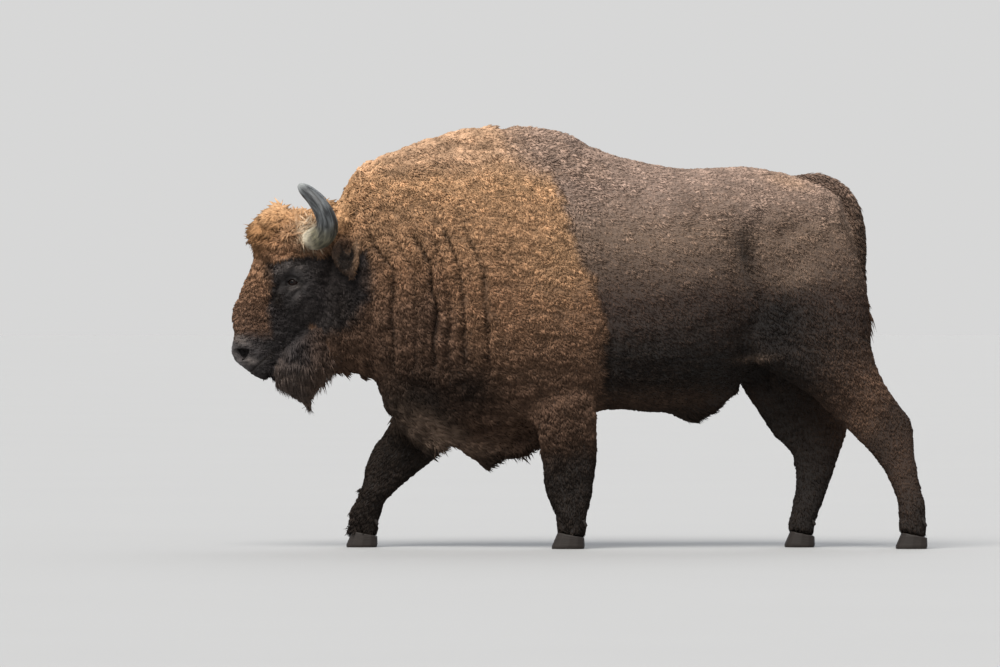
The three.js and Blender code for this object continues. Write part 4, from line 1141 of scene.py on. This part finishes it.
def grow(name, kind, corners, skin, width, axis, count, random):
    """Tufts of one coat piece, rooted on the given triangles of the skin."""
    sizes = bpy.context.scene.wisent_sizes
    roots = roots_on(skin, corners, count, random)
    root, normal, field, node_ids = (roots[key] for key in ("points", "normals", "field", "node_ids"))
    long = field[:, 0] * sizes.coat_length * (1.0 - 0.6 * roots["bare"])
    woolly = ease(0.5, 0.85, field[:, 3])
    middle, depth = gathering(root, long)
    gather = flattened(middle - root, normal)
    folds = neck_folds(root)
    wave, streaks, hanging = waves_and_streaks(root, node_ids)
    lie = combed(root, normal, field, woolly, random)
    side = np.cross(normal, lie)

    jitter = random.normal(size=(5, count))
    long *= np.clip(1.0 + 0.20 * jitter[0] + 0.16 * noise(root, 0.03, 84), 0.45, 1.6)
    long *= (1.0 - 0.45 * folds) * (1.0 + 0.12 * wave)
    long *= 0.72 + 0.45 * np.clip(depth * 2.2, 0.0, 1.0)
    rise_root = np.radians(field[:, 1] * (1.0 + 0.14 * jitter[1]))
    rise_tip = np.radians(field[:, 2] + 9.0 * wave + (2.0 + 4.0 * woolly) * jitter[2])
    bend = (0.08 + 0.50 * field[:, 3]) * jitter[3]

    def heading(rise, sway):
        """A direction that lies with the coat, lifted by rise and turned by sway."""
        ahead = lie * np.cos(rise)[:, None] + normal * np.sin(rise)[:, None]
        return unit(ahead + side * sway[:, None])

    first, second = heading(rise_root, bend * 0.4), heading(rise_tip, bend)
    top = unit(np.cross(side, first))
    top *= np.sign((top * normal).sum(axis=1, keepdims=True))
    line = {"root": root, "sunk": root - normal * ROOT_DEPTH}
    if kind == "lock":
        line["knee"] = root + first * (0.45 * long)[:, None] + gather * 0.16
        line["tip"] = line["knee"] + second * (0.55 * long)[:, None] + gather * 0.30
    else:
        line["knee"] = root + first * (0.45 * long)[:, None] + gather * 0.08
        line["tip"] = root + second * long[:, None] + gather * 0.20
    thick = width * sizes.coat_width * np.clip(1.0 + 0.22 * jitter[4], 0.5, 1.6)
    thick = (thick * (0.70 + 0.30 * np.clip(long / 0.035, 0.0, 1.2)))[:, None]
    points = np.stack([line[start] + side * thick * across + top * thick * over
                       for start, across, over in TUFTS[kind]["points"]], axis=1)

    # Each tuft's own tone, with painted light and shade across the waves of the coat and painted shade
    # at the edges of its clumps and in the folds of the neck.
    tint_and_shade = 0.5 + 0.05 * jitter[0] + 0.15 * noise(root, 0.028, 85) + 0.30 * wave + 0.30 * streaks
    tint_and_shade += 0.34 * (depth - 0.35) * (1.0 - 0.6 * hanging) - 0.55 * folds
    return tuft_mesh(name, kind, points, np.clip(tint_and_shade, 0.0, 1.0), markings_and_painted_light(root, node_ids),
                     unwrapped(root, axis))


# ---------- Materials ----------

class Shade:
    """A value in a material, so that shader sums read as plain expressions."""

    def __init__(self, finish, socket):
        self.finish = finish
        self.socket = socket

    def math(self, operation, other, swap=False):
        """A Math node on this value and another value or number."""
        pair = (other, self) if swap else (self, other)
        return self.finish.node("ShaderNodeMath", {"operation": operation}, {0: pair[0], 1: pair[1]})

    def __add__(self, other):
        return self.math("ADD", other)

    __radd__ = __add__

    def __mul__(self, other):
        return self.math("MULTIPLY", other)

    __rmul__ = __mul__

    def __sub__(self, other):
        return self.math("SUBTRACT", other)

    def __rsub__(self, other):
        return self.math("SUBTRACT", other, swap=True)

    def __pow__(self, other):
        return self.math("POWER", other)


class Finish:
    """A material with one Principled shader, made node by node."""

    def __init__(self, name, roughness, specular):
        self.material = bpy.data.materials.new(name)
        self.material.use_nodes = True
        self.tree = self.material.node_tree
        self.shader = next(n for n in self.tree.nodes if n.type == "BSDF_PRINCIPLED")
        self.shader.inputs["Roughness"].default_value = roughness
        self.shader.inputs["Specular IOR Level"].default_value = specular

    def node(self, kind, settings=None, sockets=None, output=0):
        """A node of that kind, with its settings made first and then its sockets."""
        made = self.tree.nodes.new(kind)
        for key, value in (settings or {}).items():
            setattr(made, key, value)
        for key, value in (sockets or {}).items():
            self.feed(made.inputs[key], value)
        return Shade(self, made.outputs[output])

    def feed(self, socket, value):
        """Links a value to a socket, or sets a constant on it."""
        if isinstance(value, Shade):
            self.tree.links.new(value.socket, socket)
        elif isinstance(socket.default_value, float):
            socket.default_value = value
        else:
            wanted = len(socket.default_value)
            socket.default_value = (*value, 1.0)[:wanted]

    def place(self):
        """Object coordinates."""
        return self.node("ShaderNodeTexCoord", output=3)

    def stretched(self, scale, place=None):
        """Coordinates with each axis scaled."""
        return self.node("ShaderNodeVectorMath", {"operation": "MULTIPLY"},
                         {0: place or self.place(), 1: scale})

    def grain(self, scale, detail, place=None, distortion=0.0):
        """A noise value from 0 to 1."""
        return self.node("ShaderNodeTexNoise", {}, {"Vector": place or self.place(), "Scale": scale,
                                                    "Detail": detail, "Distortion": distortion})

    def attribute(self, name):
        """A stored colour of the mesh."""
        return self.node("ShaderNodeAttribute", {"attribute_name": name})

    def split(self, value):
        """The three parts of a colour."""
        made = self.tree.nodes.new("ShaderNodeSeparateColor")
        self.feed(made.inputs[0], value)
        return [Shade(self, made.outputs[k]) for k in range(3)]

    def mix(self, amount, first, second):
        """The first colour at 0 and the second at 1."""
        return self.node("ShaderNodeMix", {"data_type": "RGBA"}, {0: amount, 6: first, 7: second},
                         output=2)

    def between(self, value, low, high, smooth=False):
        """A value's rise from 0 at low to 1 at high."""
        kind = "SMOOTHSTEP" if smooth else "LINEAR"
        return self.node("ShaderNodeMapRange", {"interpolation_type": kind},
                         {0: value, 1: low, 2: high})

    def scaled(self, paint, value):
        """A colour made lighter or darker by a value."""
        return self.node("ShaderNodeVectorMath", {"operation": "SCALE"}, {0: paint, 3: value})

    def bump(self, height, distance):
        """Adds relief to the shader."""
        normal = self.node("ShaderNodeBump", {},
                           {"Height": height, "Distance": distance, "Strength": 0.8})
        self.feed(self.shader.inputs["Normal"], normal)

    def paint(self, value):
        """Sets the shader's colour."""
        self.feed(self.shader.inputs["Base Color"], value)

    def dull(self, value):
        """Sets the shader's roughness."""
        self.feed(self.shader.inputs["Roughness"], value)


def toned(paint, factor):
    """A constant colour with its parts multiplied by a factor."""
    return tuple(factor * part for part in paint)


def wave_light_and_shade(finish):
    """Painted light and shade of short waves across the lie of the coat, from 0 to 1."""
    return finish.grain(1.0, 3.0, finish.stretched((26.0, 26.0, 84.0)), 0.6)


def coat_finish():
    """Tufts: dark at the root, light at the tip, each with its own tone, painted light and shade on
    the waves, and painted shade between clumps and in folds.
    """
    finish = Finish("coat", 0.9, 0.10)
    rise, tint_and_shade, _ = finish.split(finish.attribute("Strand"))
    light = (0.60 + 0.50 * rise) * (0.34 + 1.32 * tint_and_shade)
    waves = 0.30 + 1.40 * wave_light_and_shade(finish)
    finish.paint(finish.scaled(finish.attribute("Coat"), light * waves))
    return finish.material


def skin_finish():
    """Skin under the coat, dark and matted, with painted light and shade from the coat's waves, and
    leathery where it is bare.
    """
    finish = Finish("skin", 0.8, 0.3)
    bare, wet, _ = finish.split(finish.attribute("Bare"))
    matted = finish.scaled(finish.attribute("Coat"), 0.30 + 0.40 * wave_light_and_shade(finish))
    leather = finish.grain(60.0, 4.0)
    pores = finish.node("ShaderNodeTexVoronoi", {"feature": "DISTANCE_TO_EDGE"},
                        {"Vector": finish.place(), "Scale": 190.0})
    hide = finish.scaled(finish.attribute("Coat"), 0.55 + 1.10 * leather)
    finish.paint(finish.mix(bare, matted, hide))
    finish.dull(0.85 - 0.42 * wet)
    fibres = finish.grain(1.0, 3.0, finish.stretched((160.0, 160.0, 60.0)))
    finish.bump(fibres * (1.0 - bare) + pores * bare * 2.0, 0.003)
    return finish.material


def horn_finish():
    """Horn: cream at the root, olive at the bend, streaked slate along the shaft, worn at the tip."""
    paint = bpy.context.scene.wisent_colours
    finish = Finish("horn", 0.42, 0.35)
    along_horn = finish.attribute("Way")
    way, _, _ = finish.split(along_horn)
    fibre = finish.grain(1.0, 4.0, finish.stretched((9.0, 7.0, 7.0), along_horn), 0.5)
    blotch = finish.grain(26.0, 4.0)

    streaks = finish.between(fibre, 0.36, 0.66)
    shaft = finish.mix(streaks, toned(paint.horn, 0.30), toned(paint.horn, 2.6))
    olive = finish.mix(streaks, (0.030, 0.028, 0.018), (0.15, 0.135, 0.085))
    root = finish.mix(streaks, toned(paint.horn_base, 0.55), paint.horn_base)
    uneven = way + 0.12 * blotch
    whole = finish.mix(finish.between(uneven, 0.42, 0.62, smooth=True), olive, shaft)
    whole = finish.mix(finish.between(uneven, 0.20, 0.40, smooth=True), root, whole)
    worn = finish.between(way + 0.08 * blotch, 0.90, 1.08, smooth=True) * 0.7
    whole = finish.mix(worn, whole, (0.30, 0.31, 0.30))
    finish.paint(finish.scaled(whole, 0.45 + 1.10 * blotch))
    finish.dull(0.38 + 0.34 * fibre)
    finish.bump(fibre + blotch * 0.5, 0.0014)
    return finish.material


def hoof_finish():
    """Hooves: dark horn with faint growth rings and dusty edges."""
    paint = bpy.context.scene.wisent_colours
    finish = Finish("hoof", 0.6, 0.2)
    rings = finish.grain(1.0, 2.0, finish.stretched((14.0, 14.0, 260.0)))
    dust = finish.grain(45.0, 4.0)
    dark = finish.mix(rings, toned(paint.hoof, 0.6), toned(paint.hoof, 1.7))
    finish.paint(finish.mix(dust ** 2.0 * 0.5, dark, (0.028, 0.022, 0.018)))
    finish.dull(0.40 + 0.35 * dust)
    finish.bump(rings, 0.0010)
    return finish.material


def eye_finish():
    """Eyeball: a near-black brown iris, a long level pupil and a wet surface."""
    finish = Finish("eye", 0.06, 0.11)
    pupil_distance, iris_distance, _ = finish.split(finish.attribute("Look"))
    finish.shader.inputs["Coat Weight"].default_value = 0.05
    finish.shader.inputs["Coat Roughness"].default_value = 0.03
    streaks = finish.grain(300.0, 3.0)
    iris = finish.mix(streaks, (0.003, 0.002, 0.002), (0.013, 0.006, 0.004))
    pupil = finish.mix(finish.between(pupil_distance, 0.20, 0.26), (0.0015, 0.0015, 0.002), iris)
    finish.paint(finish.mix(finish.between(iris_distance, 0.84, 0.92), pupil, (0.020, 0.013, 0.010)))
    return finish.material


# ---------- Pieces ----------

class WISENT_OT_skin(bpy.types.Operator):
    """Makes one closed skin over the whole body, inside the coat"""
    bl_idname = "wisent.skin"
    bl_label = "Skin"

    def execute(self, context):
        mesh, node_ids, bare = build_skin()
        points = coordinates(mesh)
        write_colours(mesh, "Coat", markings_and_painted_light(points, node_ids))
        wet = bare * ease(0.2, 0.9, nostril_depth(points) + 0.7)
        write_colours(mesh, "Bare", np.stack([bare, wet, bare * 0.0], axis=1))
        stored = mesh.attributes.new("Node", "INT", "POINT")
        stored.data.foreach_set("value", node_ids.astype(np.int32))
        add_object("skin", mesh, skin_finish(), FLESH)
        return {"FINISHED"}


class WISENT_OT_coat(bpy.types.Operator):
    """Grows the coat from the skin, one piece for each part of the body"""
    bl_idname = "wisent.coat"
    bl_label = "Coat"

    def execute(self, context):
        mesh = bpy.data.objects["skin"].data
        mesh.calc_loop_triangles()
        corners = np.zeros(len(mesh.loop_triangles) * 3, np.int32)
        mesh.loop_triangles.foreach_get("vertices", corners)
        corners = corners.reshape(-1, 3)
        node_ids = np.zeros(len(mesh.vertices), np.int32)
        mesh.attributes["Node"].data.foreach_get("value", node_ids)
        bare = np.zeros(len(mesh.vertices) * 4, np.float32)
        mesh.color_attributes["Bare"].data.foreach_get("color", bare)
        points = coordinates(mesh)
        skin = {
            "points": points,
            "normals": normals_of(mesh),
            "node_ids": node_ids,
            "bare": bare.reshape(-1, 4)[:, 0].astype(float),
            "field": spread(growth(points, node_ids), edges_of(mesh), 12),
        }
        owners = piece_ids(points, node_ids)[corners[:, 0]]
        finish = coat_finish()
        for number, (name, (kind, count, width, axis)) in enumerate(COAT_PIECES.items()):
            random = np.random.default_rng(100 + number)
            grown = grow(f"coat_{name}", kind, corners[owners == number], skin, width, axis, count,
                         random)
            add_object(f"coat_{name}", grown, finish)
        return {"FINISHED"}


class WISENT_OT_eyes(bpy.types.Operator):
    """Makes the two eyeballs with their corneas"""
    bl_idname = "wisent.eyes"
    bl_label = "Eyes"

    def execute(self, context):
        finish = eye_finish()
        for side in SIDES:
            middle, look, back, up = eye_frame(side)
            ball = bmesh.new()
            bmesh.ops.create_uvsphere(ball, u_segments=48, v_segments=32, radius=EYE_RADIUS)
            mesh = mesh_of(ball, f"eye_ball_{side}")
            local = coordinates(mesh)
            facing = unit(local)[:, 2]
            local *= (1.0 + 0.055 * ease(0.78, 0.95, facing))[:, None]
            wide, tall = local[:, 0] / EYE_RADIUS, local[:, 1] / EYE_RADIUS
            set_coordinates(mesh, middle + local @ np.stack([back, up, look]))
            pupil = np.sqrt((wide / 1.5) ** 2 + (tall / 0.8) ** 2)
            iris = np.hypot(wide, tall) + (facing < 0)
            write_colours(mesh, "Look", np.stack([pupil, iris, facing], axis=1))
            if signed_volume(mesh) < 0:
                mesh.flip_normals()
            add_object(f"eye_ball_{side}", mesh, finish, [f"eye_{side}"])
        return {"FINISHED"}


def signed_volume(mesh):
    """Volume inside a mesh, below zero when it faces inwards."""
    shape = bmesh.new()
    shape.from_mesh(mesh)
    volume = shape.calc_volume(signed=True)
    shape.free()
    return volume


def smooth_path(points, count):
    """Evenly spaced points on a smooth curve through the given ones."""
    points = np.array(points, float)
    padded = np.concatenate([[2 * points[0] - points[1]], points, [2 * points[-1] - points[-2]]])
    t = np.linspace(0.0, len(points) - 1.0, 40 * len(points))
    i = np.minimum(t.astype(int), len(points) - 2)
    s = (t - i)[:, None]
    a, b, c, d = (padded[i + k] for k in range(4))
    curve = 0.5 * (2 * b + (c - a) * s + (2 * a - 5 * b + 4 * c - d) * s ** 2
                   + (3 * b - a - 3 * c + d) * s ** 3)
    steps = np.concatenate([[0.0], np.cumsum(np.linalg.norm(np.diff(curve, axis=0), axis=1))])
    even = np.linspace(0.0, steps[-1], count)
    return np.stack([np.interp(even, steps, column) for column in curve.T], axis=1)


def spread_line(values, rounds):
    """Evens out a row of values, its ends kept."""
    for _ in range(rounds):
        values = np.concatenate([values[:1], (values[:-2] + values[1:-1] + values[2:]) / 3.0,
                                 values[-1:]])
    return values


def horn_frames(path):
    """Directions across and over a path at each of its points, without twist."""
    ahead = unit(np.gradient(path, axis=0))
    across = np.cross(ahead, (0.0, 0.0, 1.0))
    for ring in range(1, len(path)):
        across[ring] = across[ring - 1] - ahead[ring] * (across[ring - 1] @ ahead[ring])
    across = unit(across)
    return across, np.cross(across, ahead)


def horn_points(sign):
    """Rings of points over one horn, with the share of its length and the angle of each."""
    path = smooth_path(HORN_PATH, HORN_RINGS) * np.array([1.0, -sign, 1.0])
    across, over = horn_frames(path)
    way = np.linspace(0.0, 1.0, HORN_RINGS)[:, None]
    ring = np.arange(HORN_RINGS)[:, None]
    angle = np.linspace(0.0, 2.0 * math.pi, HORN_SIDES, endpoint=False)
    radius = spread_line(HORN_RADIUS * along(HORN_TAPER, way[:, 0]), 6)[:, None]
    ripple = HORN_RIPPLE * np.sin(ring * 1.15 + 0.8 * np.sin(ring * 0.37)) * (1.0 - way) ** 1.5
    lumps = HORN_LUMPS * np.sin(angle * 3.0 + ring * 0.11) * (1.0 - way)
    size = (radius * (1.0 + ripple + lumps))[:, :, None]
    points = (path[:, None] + across[:, None] * size * np.cos(angle)[:, None]
              + over[:, None] * size * np.sin(angle)[:, None])
    return points, np.repeat(way[:, 0], HORN_SIDES), np.tile(angle, HORN_RINGS)


class WISENT_OT_horns(bpy.types.Operator):
    """Sweeps the two curved horns with their growth rings"""
    bl_idname = "wisent.horns"
    bl_label = "Horns"

    def execute(self, context):
        finish = horn_finish()
        for side, sign in SIDES.items():
            points, way, turn = horn_points(sign)
            shape = bmesh.new()
            loops = []
            for ring in points:
                loop = [shape.verts.new(point) for point in ring]
                loops.append([shape.edges.new((vert, loop[(k + 1) % HORN_SIDES]))
                              for k, vert in enumerate(loop)])
            for near, far in zip(loops, loops[1:]):
                bmesh.ops.bridge_loops(shape, edges=near + far)
            bmesh.ops.holes_fill(shape, edges=loops[0] + loops[-1], sides=HORN_SIDES)
            bmesh.ops.recalc_face_normals(shape, faces=shape.faces)
            mesh = mesh_of(shape, f"horn_sheath_{side}")
            write_colours(mesh, "Way", np.stack([way, 0.5 + 0.5 * np.cos(turn),
                                                 0.5 + 0.5 * np.sin(turn)], axis=1))
            add_object(f"horn_sheath_{side}", mesh, finish, [f"horn_{side}"])
        return {"FINISHED"}


class WISENT_OT_hooves(bpy.types.Operator):
    """Rounds off the hooves and dewclaws and gives them growth rings"""
    bl_idname = "wisent.hooves"
    bl_label = "Hooves"

    def execute(self, context):
        finish = hoof_finish()
        for node in sorted(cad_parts):
            if not node.startswith(("hoof", "dewclaw")):
                continue
            mesh = remeshed(mesh_of(merged_copy(node), node), HOOF_GRAIN)
            points = spread(coordinates(mesh), edges_of(mesh), 10, (0.5, -0.51))
            set_coordinates(mesh, points)
            sway = 2.0 * noise(points, 0.03, 91)
            rings = HOOF_RING_HEIGHT * np.sin(points[:, 2] / HOOF_RING_SPACING + sway)
            points += normals_of(mesh) * rings[:, None]
            points[:, 2] = np.maximum(points[:, 2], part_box(node)[0].z)
            set_coordinates(mesh, points)
            mesh.shade_smooth()
            add_object(node.replace("hoof", "claw").replace("dewclaw", "spur"), mesh, finish,
                       [node])
        return {"FINISHED"}


def lay_floor():
    """A wide floor, almost of one grey."""
    paint = bpy.context.scene.wisent_colours
    shape = bmesh.new()
    bmesh.ops.create_circle(shape, cap_ends=True, segments=96, radius=FLOOR_RADIUS)
    finish = Finish("floor", 0.8, 0.2)
    cloud = finish.grain(0.6, 2.0)
    finish.paint(finish.mix(cloud, toned(paint.floor, 0.97), tuple(paint.floor)))
    floor = bpy.data.objects.new("floor", mesh_of(shape, "floor", smooth=False))
    floor.data.materials.append(finish.material)
    bpy.context.scene.collection.objects.link(floor)


def light_world():
    """A sky that lights the model, and a plain backdrop that the camera sees."""
    world = bpy.data.worlds.new("studio")
    bpy.context.scene.world = world
    world.use_nodes = True
    nodes, link = world.node_tree.nodes, world.node_tree.links.new
    air = nodes["Background"]
    air.inputs["Color"].default_value = (*WORLD_COLOUR, 1.0)
    air.inputs["Strength"].default_value = WORLD_STRENGTH
    backdrop = nodes.new("ShaderNodeBackground")
    backdrop.inputs["Color"].default_value = (*BACKDROP_COLOUR, 1.0)
    seen = nodes.new("ShaderNodeLightPath")
    mixed = nodes.new("ShaderNodeMixShader")
    link(seen.outputs["Is Camera Ray"], mixed.inputs[0])
    link(air.outputs[0], mixed.inputs[1])
    link(backdrop.outputs[0], mixed.inputs[2])
    link(mixed.outputs[0], nodes["World Output"].inputs["Surface"])


def hang_lamps():
    """The lamps of the stage."""
    for name, (turn, strength, angle, tone) in LAMPS.items():
        light = bpy.data.lights.new(name, "SUN")
        light.energy = strength
        light.angle = math.radians(angle)
        light.color = tone
        lamp = bpy.data.objects.new(name, light)
        lamp.rotation_euler = [math.radians(value) for value in turn]
        bpy.context.scene.collection.objects.link(lamp)


def set_camera():
    """A camera with a long lens, level with the shoulder, on the animal's left."""
    lens = bpy.data.cameras.new("camera")
    lens.sensor_width = SENSOR
    lens.lens = SENSOR * VIEW_DISTANCE / VIEW_WIDTH
    lens.clip_end = 500.0
    camera = bpy.data.objects.new("camera", lens)
    camera.location = (VIEW_CENTRE[0], -VIEW_DISTANCE, EYE_LEVEL)
    aim = Vector((VIEW_CENTRE[0], 0.0, VIEW_CENTRE[1])) - camera.location
    camera.rotation_euler = aim.to_track_quat("-Z", "Y").to_euler()
    bpy.context.scene.collection.objects.link(camera)
    bpy.context.scene.camera = camera


class WISENT_OT_stage(bpy.types.Operator):
    """Lays the floor and sets the lights and the camera"""
    bl_idname = "wisent.stage"
    bl_label = "Stage"

    def execute(self, context):
        lay_floor()
        light_world()
        hang_lamps()
        set_camera()
        context.scene.view_settings.view_transform = "Standard"
        return {"FINISHED"}


class WISENT_PT_panel(bpy.types.Panel):
    """Lists the pieces of the wisent"""
    bl_idname = "WISENT_PT_panel"
    bl_label = "Wisent"
    bl_space_type = "VIEW_3D"
    bl_region_type = "UI"
    bl_category = "Wisent"

    def draw(self, context):
        for group in (context.scene.wisent_sizes, context.scene.wisent_colours):
            for name in group.bl_rna.properties.keys():
                if name not in {"rna_type", "name"}:
                    self.layout.prop(group, name)
        for operator in OPERATORS:
            self.layout.operator(operator.bl_idname)


OPERATORS = [WISENT_OT_stage, WISENT_OT_skin, WISENT_OT_eyes, WISENT_OT_horns, WISENT_OT_hooves,
             WISENT_OT_coat]
CLASSES = [WisentSizes, WisentColours, *OPERATORS, WISENT_PT_panel]


def register():
    """Adds the settings, operators and panel to Blender."""
    for item in CLASSES:
        bpy.utils.register_class(item)
    bpy.types.Scene.wisent_sizes = bpy.props.PointerProperty(type=WisentSizes)
    bpy.types.Scene.wisent_colours = bpy.props.PointerProperty(type=WisentColours)


def unregister():
    """Takes them away again."""
    del bpy.types.Scene.wisent_sizes
    del bpy.types.Scene.wisent_colours
    for item in reversed(CLASSES):
        bpy.utils.unregister_class(item)


def main():
    """Makes every piece in order."""
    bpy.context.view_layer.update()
    register()
    bpy.ops.wisent.stage()
    bpy.ops.wisent.skin()
    bpy.ops.wisent.eyes()
    bpy.ops.wisent.horns()
    bpy.ops.wisent.hooves()
    bpy.ops.wisent.coat()


if __name__ == "__main__":
    main()
